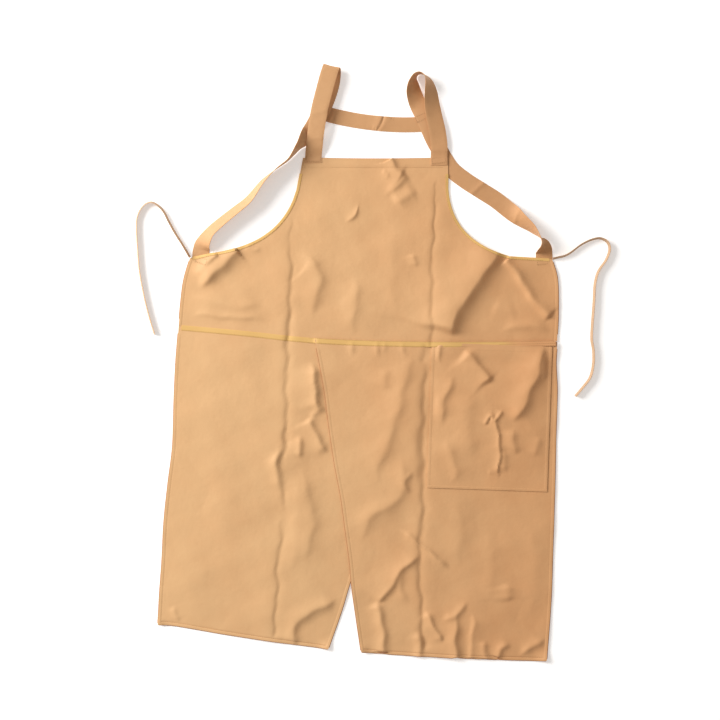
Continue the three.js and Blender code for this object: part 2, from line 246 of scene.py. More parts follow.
RIGHT_FOLDS = [
    fold([(-34, -6), (-35, -32)], 2.2, 7, 4, (0.01, 0.8)),
    fold([(8, -6), (12, -36)], 2.2, 6, 4, (0.01, 0.8)),
    fold([(24, -6), (22, -28)], 1.8, 5, 4, (0.01, 0.8)),
    fold([(58, -8), (60, -34)], 1.8, 7, 4, (0.01, 0.8)),
    fold([(72, -20), (54, -92), (34, -170), (16, -214), (8, -264)], 3.8, 28, 13, (0.2, 0.3)),
    fold([(30, -50), (22, -92)], 2.0, 16, 9),
    fold([(52, -210), (56, -262), (30, -296), (-4, -318), (-20, -366)], 4.4, 26, 13, (0.2, 0.3)),
    fold([(76, -232), (62, -252), (66, -272)], 2.4, 8, 5),
    fold([(53, -335), (80, -360), (107, -377), (138, -410)], 4.0, 5, 4, (0.2, 0.2), True),
    fold(LOWEST_RIGHT_PACKING, 2.8, 34, 34),
    fold(LOWEST_RIGHT_PACKING, -3.0, 4.5, 14, (0.3, 0.05), True),
    fold([(83, -384), (52, -416), (14, -468)], 5.0, 22, 5, (0.15, 0.1), True),
    fold([(12, -462), (17, -490), (24, -556)], 5.0, 13, 7, (0.15, 0.02)),
    fold([(60, -408), (50, -440), (66, -470)], 2.0, 10, 7),
    fold([(96, -480), (112, -508), (130, -536)], 4.6, 11, 4, (0.2, 0.2), True),
    fold([(84, -516), (87, -566)], 4.0, 13, 6, (0.3, 0.02)),
    fold([(124, -502), (150, -487), (173, -463)], 3.2, 10, 6),
    fold([(151, -474), (151, -566)], 7.0, 24, 9, (0.5, 0.02), True),
    fold([(181, -482), (178, -566)], 3.0, 5, 16, (0.3, 0.02), True),
    fold([(262, -562), (284, -546), (310, -528)], 4.0, 10, 7),
    fold([(200, -534), (206, -566)], 3.0, 10, 7, (0.3, 0.02)),
    fold([(226, -562), (234, -546), (250, -542)], 3.8, 9, 6, (0.02, 0.4)),
    fold([(240, -434), (244, -466)], 3.0, 22, 14),
    fold([(208, -330), (214, -400), (206, -470)], 1.8, 26, 20),
    fold([(286, -330), (292, -420), (282, -500)], 1.8, 26, 20),
    fold([(150, -286), (158, -340), (150, -410)], 2.0, 30, 18),
]
POCKET_FOLDS = [
    fold([(164, -16), (188, -44), (216, -74)], 6.4, 22, 8, (0.2, 0.12)),
    fold([(308, -10), (292, -66), (270, -118), (250, -148)], 7.6, 26, 10, (0.2, 0.15)),
    fold([(146, -60), (130, -104), (124, -154)], 3.4, 16, 9),
    fold([(220, -136), (226, -158), (227, -238)], 3.2, 9, 2.4, (0.15, 0.05), True),
    fold([(210, -237), (230, -239)], 1.6, 3, 3, (0.1, 0.1), True),
    fold([(203, -149), (212, -134), (221, -143), (231, -124)], 3.0, 6, 3, (0.1, 0.1), True),
    fold([(252, -156), (254, -204)], 3.4, 18, 10),
    fold([(290, -210), (300, -168)], 1.8, 12, 10),
    fold([(178, -92), (170, -160), (180, -214)], 3.0, 36, 22),
    fold([(120, -10), (124, -46)], 2.4, 7, 5, (0.1, 0.6)),
    fold([(314, -26), (304, -72)], 2.4, 8, 5),
    fold([(132, -176), (150, -232), (140, -256)], 2.0, 14, 10),
    fold([(232, -196), (240, -236)], 2.0, 10, 8),
]
# Creases across the straps.
STRAP_FOLDS = [
    fold(CROSS_STRAP_CREASE, 2.4, 12, 12, (0.02, 0.02)),
    fold(CROSS_STRAP_CREASE, -2.3, 2, 4, (0.02, 0.02), True),
    fold([(204, 280), (176, 258)], 1.4, 6, 3, (0.02, 0.02), True),
    fold([(270, 242), (254, 208)], 1.6, 6, 3, (0.02, 0.02), True),
    fold([(-126, 352), (-86, 356)], 0.8, 7, 3, (0.02, 0.02), True),
    fold([(-120, 398), (-76, 404)], 0.8, 10, 4, (0.02, 0.02)),
    fold([(90, 340), (140, 336)], 0.8, 7, 3, (0.02, 0.02), True),
]
AWAY_FROM_LIGHT = spot(0.9, -0.44)
FOLD_REACH = 3.2  # a fold's widths, past which its lift is left out
END_WIDTH = 0.45  # share of a fold's width that is left at its ends
# How a crest is shaped: what is added under the root, what is then taken off, and how fast it falls.
SHARP_CREST, ROUND_CREST = (0.02, 0.14, 1.3), (0.22, 0.47, 1.7)
# Soft swells of the whole cloth: height in mm, wavelength in mm, heading in degrees and phase.
SWELLS = [
    (0.60, 310, 8, 0.4), (0.50, 214, 76, 1.9), (0.42, 156, -33, 3.1), (0.34, 121, 21, 0.9),
    (0.27, 93, -74, 5.0), (0.21, 71, 5, 2.2), (0.14, 52, 118, 4.1), (0.09, 37, 34, 1.1),
]

SWELL_DEPTH = 0.9  # mm


def fold_height(x, y, made):
    """How far one fold lifts the cloth: its rise times e to the power of minus the distance to its line
    over its width, the crest rounded off. Rise and width both fade towards the fold's ends.
    """
    line = even_line([made["points"]], np.linspace(0, 1, 9 * len(made["points"])))
    reach = FOLD_REACH * max(made["lit"], made["dark"])
    low, high = line.min(axis=0) - reach, line.max(axis=0) + reach
    near = (x > low[0]) & (x < high[0]) & (y > low[1]) & (y < high[1])
    height = np.zeros_like(x)
    if not near.any():
        return height
    here = np.column_stack([x[near], y[near]])[:, None]
    step = np.diff(line, axis=0)
    share = ((here - line[:-1]) * step).sum(-1) / (step * step).sum(-1)
    share = np.clip(share, 0, 1)
    off = here - line[:-1] - share[..., None] * step
    distance = np.linalg.norm(off, axis=-1)
    rows = np.arange(len(here))
    closest = distance.argmin(axis=1)
    distance, off, share = distance[rows, closest], off[rows, closest], share[rows, closest]
    turned = smoothstep(off @ AWAY_FROM_LIGHT / (distance + 0.5), -0.4, 0.4)
    width = made["lit"] + (made["dark"] - made["lit"]) * turned
    place = (closest + share) / len(step)
    fade_in, fade_out = made["fade"]
    faded = smoothstep(place, 0, fade_in) * smoothstep(1 - place, 0, fade_out)
    spread = distance / (width * (END_WIDTH + (1 - END_WIDTH) * faded))
    rounding, offset, fall = SHARP_CREST if made["sharp"] else ROUND_CREST
    height[near] = made["rise"] * faded * np.exp(-(np.sqrt(spread**2 + rounding) - offset) * fall)
    return height


def wander(x, y):
    """Flat places moved a few millimetres by slow waves, so that no fold keeps an even line."""
    aside = 1.6 * np.sin(y / 13 + x / 31) + 1.1 * np.sin(y / 6.3 - x / 17 + 1)
    along = 1.6 * np.sin(x / 14 - y / 37 + 2) + 1.0 * np.sin(x / 7.1 + y / 19)
    return x + aside, y + along


def folds_height(x, y, folds):
    """What several folds add up to."""
    x, y = wander(x, y)
    return sum(fold_height(x, y, made) for made in folds)


def swell_height(x, y):
    """Slow waves over the whole cloth, added up, cut off in their deepest places and never below 0."""
    total = np.zeros_like(x)
    for rise, wavelength, heading, phase in SWELLS:
        turn = math.radians(heading)
        total += rise * np.sin(2 * math.pi * (x * math.cos(turn) + y * math.sin(turn)) / wavelength + phase)
    return np.maximum(total, -SWELL_DEPTH) + SWELL_DEPTH


def soft_max(a, b, blur=0.4):
    """The higher of two heights, rounded where they cross."""
    return (a + b + np.sqrt((a - b) ** 2 + blur**2)) / 2


# ---------- where each layer of cloth lies ----------
# Heights in mm of the middle of a layer that lies flat, what the right panel rises where it laps over
# another layer, and how far above the left panel it stays.
BIB_LEVEL, LEFT_LEVEL, RIGHT_LEVEL = 2.2, 2.0, 2.2
LAP_RISE, PANEL_GAP = 2.2, 2.3
COVERED_TO = -445  # along Y, down to which the left panel lies flat under the right one


def shared_height(x, y):
    """What every layer shares: the swells and the packing folds, never below 0."""
    return np.maximum(swell_height(x, y) + folds_height(x, y, PACKING_FOLDS), 0)


def bib_z(x, y):
    """The bib: its top edge and both side corners are held down, and its folds stop at the waist."""
    above = y - waist_y(x)
    held = smoothstep(BIB_TOP - y, 0, 24)
    for corner in (CORNER_RIGHT, CORNER_LEFT):
        held = held * smoothstep(np.hypot(x - corner[0], y - corner[1]), 8, 30)
    top_fold = folds_height(x, y, BIB_FOLDS[:1])
    rest = shared_height(x, y) * (0.25 + 0.75 * held)
    return BIB_LEVEL + rest + top_fold + folds_height(x, y, BIB_FOLDS[1:]) * smoothstep(above, 1, 22) * held


def vent_x(y):
    """Where the right panel's inner edge lies along X."""
    line = even_line([VENT_EDGE], np.linspace(0, 1, 80))
    return np.interp(-y, -line[:, 1], line[:, 0])


def under_edge_x(y):
    """Where the left panel's inner edge lies along X, taken as a straight line."""
    (top_x, top_y), (bottom_x, bottom_y) = LEFT_INNER_TOP, LEFT_INNER_BOTTOM
    return np.interp(-y, [-top_y, -bottom_y], [top_x, bottom_x])


def left_z(x, y):
    """The left skirt panel: under the right one it lies flat."""
    below = waist_y(x) - y
    inside = smoothstep(x - vent_x(y), 0, 22) * (y > COVERED_TO)
    flat = LEFT_LEVEL + 0.2 * smoothstep(-100 - x, 0, 20)
    own = folds_height(x, y, LEFT_FOLDS) * smoothstep(below, 2, 22)
    return flat + (shared_height(x, y) + own) * (1 - inside)


def right_z(x, y):
    """The right skirt panel: lapped over the bib at the waist, then over the left panel's edge."""
    below = waist_y(x) - y
    over = 1 - smoothstep(x - under_edge_x(y), 2, 80)
    under = 1 - smoothstep(x - under_edge_x(y), 4, 8)
    lap = np.maximum(over, 1 - smoothstep(below, 12, 40))
    own = folds_height(x, y, RIGHT_FOLDS) * smoothstep(below, 2, 16)
    free = RIGHT_LEVEL + LAP_RISE * lap + shared_height(x, y) + own
    return free + (soft_max(free, left_z(x, y) + PANEL_GAP) - free) * under


# ---------- meshes ----------
def outward(vertices, faces):
    """Quads turned round if they enclose a negative volume."""
    a, b, c, d = (vertices[faces[:, k]] for k in range(4))
    volume = (a * np.cross(b, c)).sum() + (a * np.cross(c, d)).sum()
    return faces if volume > 0 else faces[:, ::-1]


def make_piece(name, vertices, faces, material, uv=None, crease_angle=50):
    """A smooth-shaded mesh object from vertices in mm (n, 3) and quads (m, 4). uv is in metres."""
    mesh = bpy.data.meshes.new(name)
    faces = outward(vertices, faces).astype(np.int32)
    mesh.vertices.add(len(vertices))
    mesh.vertices.foreach_set("co", (vertices * MM).astype(np.float32).ravel())
    mesh.loops.add(faces.size)
    mesh.loops.foreach_set("vertex_index", faces.ravel())
    mesh.polygons.add(len(faces))
    mesh.polygons.foreach_set("loop_start", np.arange(0, faces.size, 4, dtype=np.int32))
    mesh.update(calc_edges=True)
    mesh.validate()
    mesh.shade_smooth()
    mesh.set_sharp_from_angle(angle=math.radians(crease_angle))
    if uv is not None:
        layer = mesh.uv_layers.new(name="UVMap")
        layer.data.foreach_set("uv", uv[faces.ravel()].astype(np.float32).ravel())
    mesh.materials.append(material)
    piece = bpy.data.objects.new(name, mesh)
    bpy.context.collection.objects.link(piece)
    return piece


def grid_faces(rows, columns, close=False):
    """The quads of a grid of points, its last column joined to its first if it closes."""
    last = columns if close else columns - 1
    row, column = np.meshgrid(np.arange(rows - 1), np.arange(last), indexing="ij")
    beside = (column + 1) % columns
    corners = (row, column), (row, beside), (row + 1, beside), (row + 1, column)
    return np.stack([(r * columns + c).ravel() for r, c in corners], axis=1)


def shell(points, thickness):
    """A grid of points made a closed cloth: the grid moved half its thickness both ways along its
    normal, and a wall round the rim. Returns vertices and quads.
    """
    rows, columns, _ = points.shape
    normal = np.cross(np.gradient(points, axis=1), np.gradient(points, axis=0))
    normal /= np.linalg.norm(normal, axis=2)[..., None] + 1e-9
    normal *= np.sign(normal[..., 2:3].mean())
    half = normal * thickness / 2
    vertices = np.concatenate([(points + half).reshape(-1, 3), (points - half).reshape(-1, 3)])
    top = grid_faces(rows, columns)
    number = np.arange(rows * columns).reshape(rows, columns)
    rim = np.concatenate([number[0, :-1], number[:-1, -1], number[-1, :0:-1], number[:0:-1, 0]])
    after = np.roll(rim, -1)
    count = rows * columns
    wall = np.stack([after, rim, rim + count, after + count], axis=1)
    return vertices, np.concatenate([top, top[:, ::-1] + count, wall])


def flat_profile(width, thickness, count=7):
    """A flat band's section: x falls along a cosine and y follows a high-powered superellipse."""
    turn = (np.arange(count) + 0.5) * math.pi / count
    x = np.cos(turn) / math.cos(math.pi / 2 / count)
    y = (1 - 0.92 * np.abs(x) ** 10) ** 0.25
    top = np.column_stack([x * width / 2, y * thickness / 2])
    return np.concatenate([top, top[::-1] * (1, -1)])


def wrapped_profile(width, thickness, gape):
    """A tape folded round an edge: two lips with a gap between them and a round fold on one side."""
    turn = np.linspace(math.pi / 2, -math.pi / 2, 6)
    outer, inner = gape / 2 + thickness, gape / 2
    fold_at = width / 2 - outer
    ring = np.column_stack([fold_at + outer * np.cos(turn), outer * np.sin(turn)])
    back = np.column_stack([fold_at + inner * np.cos(turn[::-1]), inner * np.sin(turn[::-1])])
    lips = [(-width / 2, outer)], [(-width / 2, -outer), (-width / 2, -inner)], [(-width / 2, inner)]
    return np.concatenate([lips[0], ring, lips[1], back, lips[2]])


def carried(centres, across, profile):
    """A profile carried along a path: each ring is the centre plus x across and y along the path's
    own up, which is square to across and to the path. Returns the rings (n, m, 3).
    """
    along = np.gradient(centres, axis=0)
    along /= np.linalg.norm(along, axis=1)[:, None]
    across = across - (across * along).sum(1)[:, None] * along
    across = across / np.linalg.norm(across, axis=1)[:, None]
    up = np.cross(across, along)
    return centres[:, None] + profile[:, :1] * across[:, None] + profile[:, 1:] * up[:, None]


def tube(rings):
    """Rings joined into a closed tube with quad caps. Returns vertices, quads and, in metres, how far
    along and around each vertex is.
    """
    rows, columns, _ = rings.shape
    sides = grid_faces(rows, columns, close=True)
    near = np.arange(columns // 2 - 1)
    cap = np.stack([near, near + 1, columns - 2 - near, columns - 1 - near], axis=1)
    last = cap[:, ::-1] + (rows - 1) * columns
    along = np.repeat(run_of(rings.mean(axis=1))[:, None], columns, axis=1)
    round_it = np.repeat(run_of(rings[0])[None], rows, axis=0)
    uv = np.stack([along, round_it], axis=-1).reshape(-1, 2) * MM
    return rings.reshape(-1, 3), np.concatenate([sides, cap, last]), uv


def lying_band(line, width, profile, z_of, lift, side):
    """A band along a line on the cloth: it follows the cloth's height and its slope sideways. Its
    section's +X points to the left of the line for a side of 1 and to the right for -1.
    """
    step = np.gradient(line, axis=0)
    step /= np.linalg.norm(step, axis=1)[:, None]
    across = np.column_stack([-step[:, 1], step[:, 0]]) * side
    reach = width / 2 - 0.5
    one, other = line + across * reach, line - across * reach
    z_one, z_other = z_of(*one.T), z_of(*other.T)
    centres = np.column_stack([line, (z_one + z_other) / 2 + lift])
    sideways = np.column_stack([across * 2 * reach, z_one - z_other])
    return carried(centres, sideways, profile)


THREAD_WIDTH = 0.5  # mm


def stitches(line, z_of, lift, length, pitch):
    """A row of stitches: one small spindle a pitch, turned along the line and laid on the cloth."""
    run = run_of(line)
    middles = np.arange(pitch / 2, run[-1], pitch)
    ends = []
    for offset in (-length / 2, length / 2):
        at = np.clip(middles + offset, 0, run[-1])
        flat = np.column_stack([np.interp(at, run, axis) for axis in line.T])
        ends.append(np.column_stack([flat, z_of(*flat.T) + lift]))
    return spindles(ends[0], ends[1], THREAD_WIDTH)


def spindles(start, end, width):
    """Small spindles from start to end: three rings of four points each, the middle one widest."""
    along = end - start
    across = np.cross(along, (0, 0, 1.0))
    across *= width / 2 / np.linalg.norm(across, axis=1)[:, None]
    up = np.array([0, 0, width * 0.42])
    rings = []
    for share, size in ((0, 0.45), (0.5, 1), (1, 0.45)):
        middle = start + share * along
        rings += [middle + size * part for part in (across, up, -across, -up)]
    vertices = np.stack(rings, axis=1)
    one = np.concatenate([grid_faces(3, 4, close=True), [[0, 3, 2, 1], [8, 9, 10, 11]]])
    first = np.arange(len(start))[:, None, None] * 12
    return vertices.reshape(-1, 3), (one + first).reshape(-1, 4)


def merged(parts):
    """Several (vertices, quads) put together."""
    vertices, faces, count = [], [], 0
    for part_vertices, part_faces in parts:
        vertices.append(part_vertices)
        faces.append(part_faces + count)
        count += len(part_vertices)
    return np.concatenate(vertices), np.concatenate(faces)


STITCH_DEPTH = 5.4  # mm from an edge to the row of stitches along its hem
HEM_ROWS = (0, 0.9, 2.0, 3.4, 4.6, STITCH_DEPTH, 6.2, 7.6, 9.4)  # mm from an edge


def shares_with_fine_ends(length, pitch):
    """Shares of a length, a pitch apart in the middle and closer by both ends, where the hems are."""
    fine = np.array(HEM_ROWS)
    middle = np.linspace(fine[-1], length - fine[-1], max(int((length - 2 * fine[-1]) / pitch), 2))
    return np.concatenate([fine[:-1], middle, length - fine[-2::-1]]) / length


def patch(bottom, top, left, right, across, up):
    """A flat cloth's points (rows, columns, 2) from its four edges, by a Coons patch: the two ruled
    surfaces added, less the bilinear one through the corners.
    """
    low, high = even_line(bottom, across)[None], even_line(top, across)[None]
    west, east = even_line(left, up)[:, None], even_line(right, up)[:, None]
    u, v = across[None, :, None], up[:, None, None]
    corners = (1 - v) * ((1 - u) * west[:1] + u * east[:1]) + v * ((1 - u) * west[-1:] + u * east[-1:])
    return (1 - u) * west + u * east + (1 - v) * low + v * high - corners


def hem_relief(distance, groove=0.4):
    """A turned hem seen from above: a flat raised band and the groove that its stitches pull in."""
    band = 0.35 * (1 - smoothstep(distance, STITCH_DEPTH - 0.6, STITCH_DEPTH + 2.2))
    stitched = -groove * np.exp(-(((distance - STITCH_DEPTH) / 0.9) ** 2))
    return band + stitched


# ---------- shader nodes ----------
class Value:
    """A number that varies over a surface. Python's operators on it add Math nodes."""

    def __init__(self, tree, socket):
        self.tree = tree
        self.socket = socket

    def math(self, operation, *others):
        inputs = {k + 1: other for k, other in enumerate(others)}
        return self.tree.add("Math", {"operation": operation}, {0: self, **inputs})

    def reflected(self, operation, other):
        return self.tree.add("Math", {"operation": operation}, {0: other, 1: self})

    def __add__(self, other):
        return self.math("ADD", other)

    def __mul__(self, other):
        return self.math("MULTIPLY", other)

    def __sub__(self, other):
        return self.math("SUBTRACT", other)

    def __rsub__(self, other):
        return self.reflected("SUBTRACT", other)

    __radd__ = __add__
    __rmul__ = __mul__

    def wave(self, pitch):
        """A sine of this length, from 0 to 1."""
        return (self * (2 * math.pi / pitch)).math("SINE") * 0.5 + 0.5

    def ramp(self, low, high):
        """0 at low, 1 at high and smooth between."""
        settings = {"interpolation_type": "SMOOTHSTEP"}
        return self.tree.add("MapRange", settings, {"Value": self, "From Min": low, "From Max": high})


class Finish:
    """A material and the few kinds of node that its finish is written with."""

    def __init__(self, name, **constants):
        self.material = bpy.data.materials.new(name)
        self.material.use_nodes = True
        self.nodes = self.material.node_tree.nodes
        self.links = self.material.node_tree.links
        self.shader = self.nodes["Principled BSDF"]
        for socket, value in constants.items():
            self.shader.inputs[socket.replace("_", " ")].default_value = value

    def add(self, kind, settings, inputs, output=0):
        """A node of a type, its settings set first, then its sockets' values or links."""
        made = self.nodes.new("ShaderNode" + kind)
        for setting, value in settings.items():
            setattr(made, setting, value)
        for socket, value in inputs.items():
            if isinstance(value, Value):
                self.links.new(value.socket, made.inputs[socket])
            else:
                made.inputs[socket].default_value = value
        return Value(self, made.outputs[output])

    def place(self, output="Object"):
        return self.add("TexCoord", {}, {}, output)

    def part(self, vector, axis):
        return self.add("SeparateXYZ", {}, {0: vector}, axis)

    def noise(self, vector, scale, detail=2.0):
        """Noise about 0 to 1, scale to the metre."""
        return self.add("TexNoise", {}, {"Vector": vector, "Scale": scale, "Detail": detail})

    def stretched(self, vector, scale):
        return self.add("Mapping", {}, {"Vector": vector, "Scale": scale})

    def mix(self, share, one, other):
        """Two colours mixed by a share."""
        return self.add("Mix", {"data_type": "RGBA"}, {0: share, 6: one, 7: other}, 2)

    def feed(self, socket, value):
        self.links.new(value.socket, self.shader.inputs[socket])

    def bump(self, height, depth, strength=1.0, under=None):
        """A bump of a height in metres, which may lie on another bump."""
        inputs = {"Height": height, "Distance": depth, "Strength": strength}
        if under is not None:
            inputs["Normal"] = under
        return self.add("Bump", {}, inputs)


def rgba(colour):
    return (*colour, 1.0)


# ---------- finishes ----------
def twill(finish, uv, line_width):
    """The cloth's weave as a height from 0 to 1: slanting twill lines crossed by finer threads."""
    along, over = finish.part(uv, "X"), finish.part(uv, "Y")
    slant = (along + over).wave(line_width)
    threads = over.wave(line_width * 0.5) * along.wave(line_width * 0.5)
    return slant * 0.7 + threads * 0.3


def streaks(finish, uv, scale):
    """Threads a little thicker and thinner along their length, one set each way."""
    warp = finish.noise(finish.stretched(uv, (scale, scale / 40, 1)), 1.0, 1.0)
    weft = finish.noise(finish.stretched(uv, (scale / 40, scale, 1)), 1.0, 1.0)
    return warp * 0.5 + weft * 0.5


def cloth_finish(name, lit, deep, line_width=0.0007, sheen=0.18, weave_depth=0.00010):
    """Fine satin-faced twill with painted shade: warmer and deeper towards its right side, away from the
    key light at the left, softly mottled, with thread streaks, small crumples and a twill line in its
    surface.
    """
    finish = Finish(name, Sheen_Weight=sheen, Sheen_Roughness=0.45, Specular_IOR_Level=0.3)
    finish.shader.inputs["Sheen Tint"].default_value = (1.0, 0.86, 0.7, 1.0)
    place, uv = finish.place(), finish.place("UV")
    # painted shade: the colour runs from lit to deep towards +X, away from the key light at the left
    side = finish.part(place, "X").ramp(-0.24, 0.36)
    blotch = finish.noise(place, 5.0, 2.0)
    mottle = finish.noise(place, 38.0, 3.0)
    fine = streaks(finish, uv, 1400.0)
    share = side * 0.6 + (blotch - 0.5) * 0.8 + (mottle - 0.5) * 0.3 + (fine - 0.5) * 0.3 + 0.1
    colour = finish.mix(share.math("MAXIMUM", 0.0).math("MINIMUM", 1.0), rgba(lit), rgba(deep))
    finish.feed("Base Color", colour)
    finish.feed("Roughness", mottle * 0.12 + fine * 0.1 + 0.5)
    crumple = finish.noise(place, 95.0, 3.0) * 0.6 + finish.noise(place, 30.0, 2.0)
    soft = finish.bump(crumple, 0.0011, 0.5)
    finish.feed("Normal", finish.bump(twill(finish, uv, line_width), weave_depth, 0.6, soft))
    return finish.material


def trim_finish(name, gold, cloth, fades_from):
    """A ribbed golden tape, which takes the cloth's own colour past a place along X, in metres."""
    finish = Finish(name, Sheen_Weight=0.15, Sheen_Roughness=0.4, Specular_IOR_Level=0.35)
    place, uv = finish.place(), finish.place("UV")
    across_ribs = finish.part(uv, "X").wave(0.0009)
    mottle = finish.noise(place, 60.0, 3.0)
    faded = finish.part(place, "X").ramp(fades_from, fades_from + 0.05)
    share = (faded + (mottle - 0.5) * 0.5).math("MAXIMUM", 0.0).math("MINIMUM", 1.0)
    finish.feed("Base Color", finish.mix(share, rgba(gold), rgba(cloth)))
    finish.feed("Roughness", mottle * 0.2 + 0.45)
    finish.feed("Normal", finish.bump(across_ribs, 0.00014, 0.6))
    return finish.material


def thread_finish(name, colour):
    """Spun sewing thread: a fine twist and a soft shine."""
    finish = Finish(name, Sheen_Weight=0.1, Specular_IOR_Level=0.4)
    place = finish.place()
    twist = finish.noise(finish.stretched(place, (2500, 2500, 400)), 1.0, 1.0)
    darker = tuple(channel * 0.72 for channel in colour)
    finish.feed("Base Color", finish.mix(twist, rgba(colour), rgba(darker)))
    finish.feed("Roughness", twist * 0.2 + 0.42)
    finish.feed("Normal", finish.bump(twist, 0.0001, 0.4))
    return finish.material


def floor_finish(name, colour):
    """A pale, faintly specked table that glows a little, so that no shadow on it is deep."""
    finish = Finish(name, Roughness=0.9, Specular_IOR_Level=0.1, Emission_Strength=0.3)
    finish.shader.inputs["Emission Color"].default_value = (1.0, 1.0, 1.0, 1.0)
    speck = finish.noise(finish.place(), 260.0, 2.0)
    dull = tuple(channel * 0.985 for channel in colour)
    finish.feed("Base Color", finish.mix(speck, rgba(colour), rgba(dull)))
    return finish.material


# ---------- settings ----------
def length(name, description, default_mm):
    return bpy.props.FloatProperty(
        name=name, description=description, default=default_mm * MM, min=0, unit="LENGTH", precision=4
    )


def colour(name, description, default):
    return bpy.props.FloatVectorProperty(
        name=name, description=description, default=default, min=0, max=1, subtype="COLOR"
    )


class ApronSizes(bpy.types.PropertyGroup):
    """Sizes of the apron's cloth, trim and stitching"""

    cloth: length("Cloth", "Thickness of the cloth", 0.5)
    pitch: length("Mesh pitch", "Distance between the cloth mesh's rows", 2.9)
    hem_width: length("Hem width", "Width of the turned hems", 6.6)
    hem_thickness: length("Hem thickness", "Thickness of the cloth turned under at a hem", 1.2)
    top_hem_depth: length("Top hem depth", "Depth of the hem at the bib's top", 17)
    binding_width: length("Binding width", "Width of the tape folded round an armhole", 5.4)
    band_width: length("Band width", "Width of the golden band on the waist seam", 9.4)
    strap_width: length("Strap width", "Width of the shoulder straps", 29.6)
    strap_thickness: length("Strap thickness", "Thickness of the shoulder straps", 1.5)
    tie_width: length("Tie width", "Width of the ties", 10)
    tie_thickness: length("Tie thickness", "Thickness of the ties", 1.1)
    pocket_room: length("Pocket room", "How far the pocket stands off the skirt in its middle", 3.4)
    stitch_length: length("Stitch length", "Length of one stitch", 2.4)
    stitch_pitch: length("Stitch pitch", "Distance from one stitch to the next", 3.3)


class ApronColours(bpy.types.PropertyGroup):
    """Colours of the apron's cloth, trim and thread"""

    # Each cloth's paler colour is its lit colour and its deeper one is painted shade: the finish mixes them
    # along X, deeper towards the right, away from the key light.
    lit: colour("Cloth, left", "The cloth's paler, left side", (0.70, 0.425, 0.205))
    deep: colour("Cloth, right", "The cloth's deeper, right side", (0.63, 0.315, 0.135))
    strap: colour("Straps", "Paler side of the straps", (0.62, 0.35, 0.165))
    strap_deep: colour("Straps, deep", "Deeper side of the straps", (0.53, 0.255, 0.105))
    tie: colour("Ties", "The ties' tape", (0.60, 0.38, 0.22))
    gold: colour("Golden trim", "Waist band and armhole tape", (0.72, 0.44, 0.145))
    thread: colour("Thread", "Sewing thread", (0.62, 0.35, 0.155))
    # dark brown thread that is also a painted shadow line along the waist band's top edge and at the
    # straps' cut ends
    brown_thread: colour("Brown thread", "Thread at the waist, armholes and straps", (0.34, 0.165, 0.055))


class ApronStage(bpy.types.PropertyGroup):
    """Light and floor"""

    key: bpy.props.FloatProperty(
        name="Key light", description="Power of the light from the left", default=200, min=0, unit="POWER"
    )
    fill: bpy.props.FloatProperty(
        name="Fill", description="Brightness of the surroundings", default=0.44, min=0
    )
    floor: colour("Floor", "The table under the apron", (0.95, 0.95, 0.945))


def sizes_mm():
    """The sizes as a name for each, in mm."""
    settings = bpy.context.scene.apron_sizes
    return {name: getattr(settings, name) / MM for name in ApronSizes.__annotations__}


def finish_of(name):
    """One of the apron's materials, made when it is first asked for."""
    if name in bpy.data.materials:
        return bpy.data.materials[name]
    paint = bpy.context.scene.apron_colours
    lit, deep, strap, strap_deep, tie, gold, thread, brown = (
        tuple(getattr(paint, name)) for name in ApronColours.__annotations__
    )
    # The second colour given to each cloth finish below, the tie's 0.8 copy among them, is painted shade
    # for its right side, and the golden band's cloth colour comes from it; the hem's colour is the apron
    # colour darkened.
    hem = tuple(channel * share for channel, share in zip(lit, (0.66, 0.50, 0.44)))
    hem_painted_shade = tuple(channel * share for channel, share in zip(deep, (0.68, 0.54, 0.5)))
    makers = {
        "apron twill": lambda n: cloth_finish(n, lit, deep),
        "turned hem twill": lambda n: cloth_finish(n, hem, hem_painted_shade),
        "strap twill": lambda n: cloth_finish(n, strap, strap_deep, 0.0009, 0.15, 0.00016),
        "tie tape": lambda n: cloth_finish(n, tie, tuple(c * 0.8 for c in tie), 0.0011, 0.1, 0.0002),
        "golden band": lambda n: trim_finish(n, gold, tuple(c * 1.06 for c in deep), 0.22),
        "golden binding": lambda n: trim_finish(n, gold, lit, 2.0),
        "sewing thread": lambda n: thread_finish(n, thread),
        "brown thread": lambda n: thread_finish(n, brown),
    }
    return makers[name](name)


# ---------- how pieces hang on the bodies ----------
BEND_FROM, BEND_TO = 10, 60  # mm below the waist seam, where two points are set square below each skirt's hinge


def bend_of(joint_name):
    """Two points square below the middle of a skirt's hinge, on the table."""
    joint = next(j for j in frame["joints"] if j["name"] == joint_name)
    hinge, axis = np.array(joint["pos_m"], float), np.array(joint["axis"], float)
    hinge[2] = 0
    down = np.array([axis[1], -axis[0], 0])
    down *= -math.copysign(1, down[1])
    return tuple(hinge + down * BEND_FROM * MM), tuple(hinge + down * BEND_TO * MM)


BENDS = {LEFT_SKIRT: bend_of("under_panel_lift"), RIGHT_SKIRT: bend_of("over_panel_lift")}


def settle(piece, body, slot, *nodes):
    """Gives a finished piece its body and hides the CAD nodes that it stands for. Its slot is not used."""
    if body == UPPER:
        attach(piece, UPPER)
    else:
        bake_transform(piece)
    if nodes:
        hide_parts(*nodes)


def flat_uv(vertices, turn=0.0):
    """A cloth's own threads: its flat place in metres, turned to run with the cloth."""
    c, s = math.cos(turn), math.sin(turn)
    x, y = vertices[:, 0] * MM, vertices[:, 1] * MM
    return np.column_stack([x * c + y * s, y * c - x * s])


def make_cloth(size, name, points, z, turn=0.0):
    """A cloth piece from its flat points and their heights, its threads turned by an angle."""
    vertices, faces = shell(np.concatenate([points, z[..., None]], axis=2), size["cloth"])
    return make_piece(name, vertices, faces, finish_of("apron twill"), flat_uv(vertices, turn))


def make_tube(name, rings, finish):
    """A tape, hem, strap or tie from its rings."""
    vertices, faces, uv = tube(rings)
    return make_piece(name, vertices, faces, finish_of(finish), uv, 40)


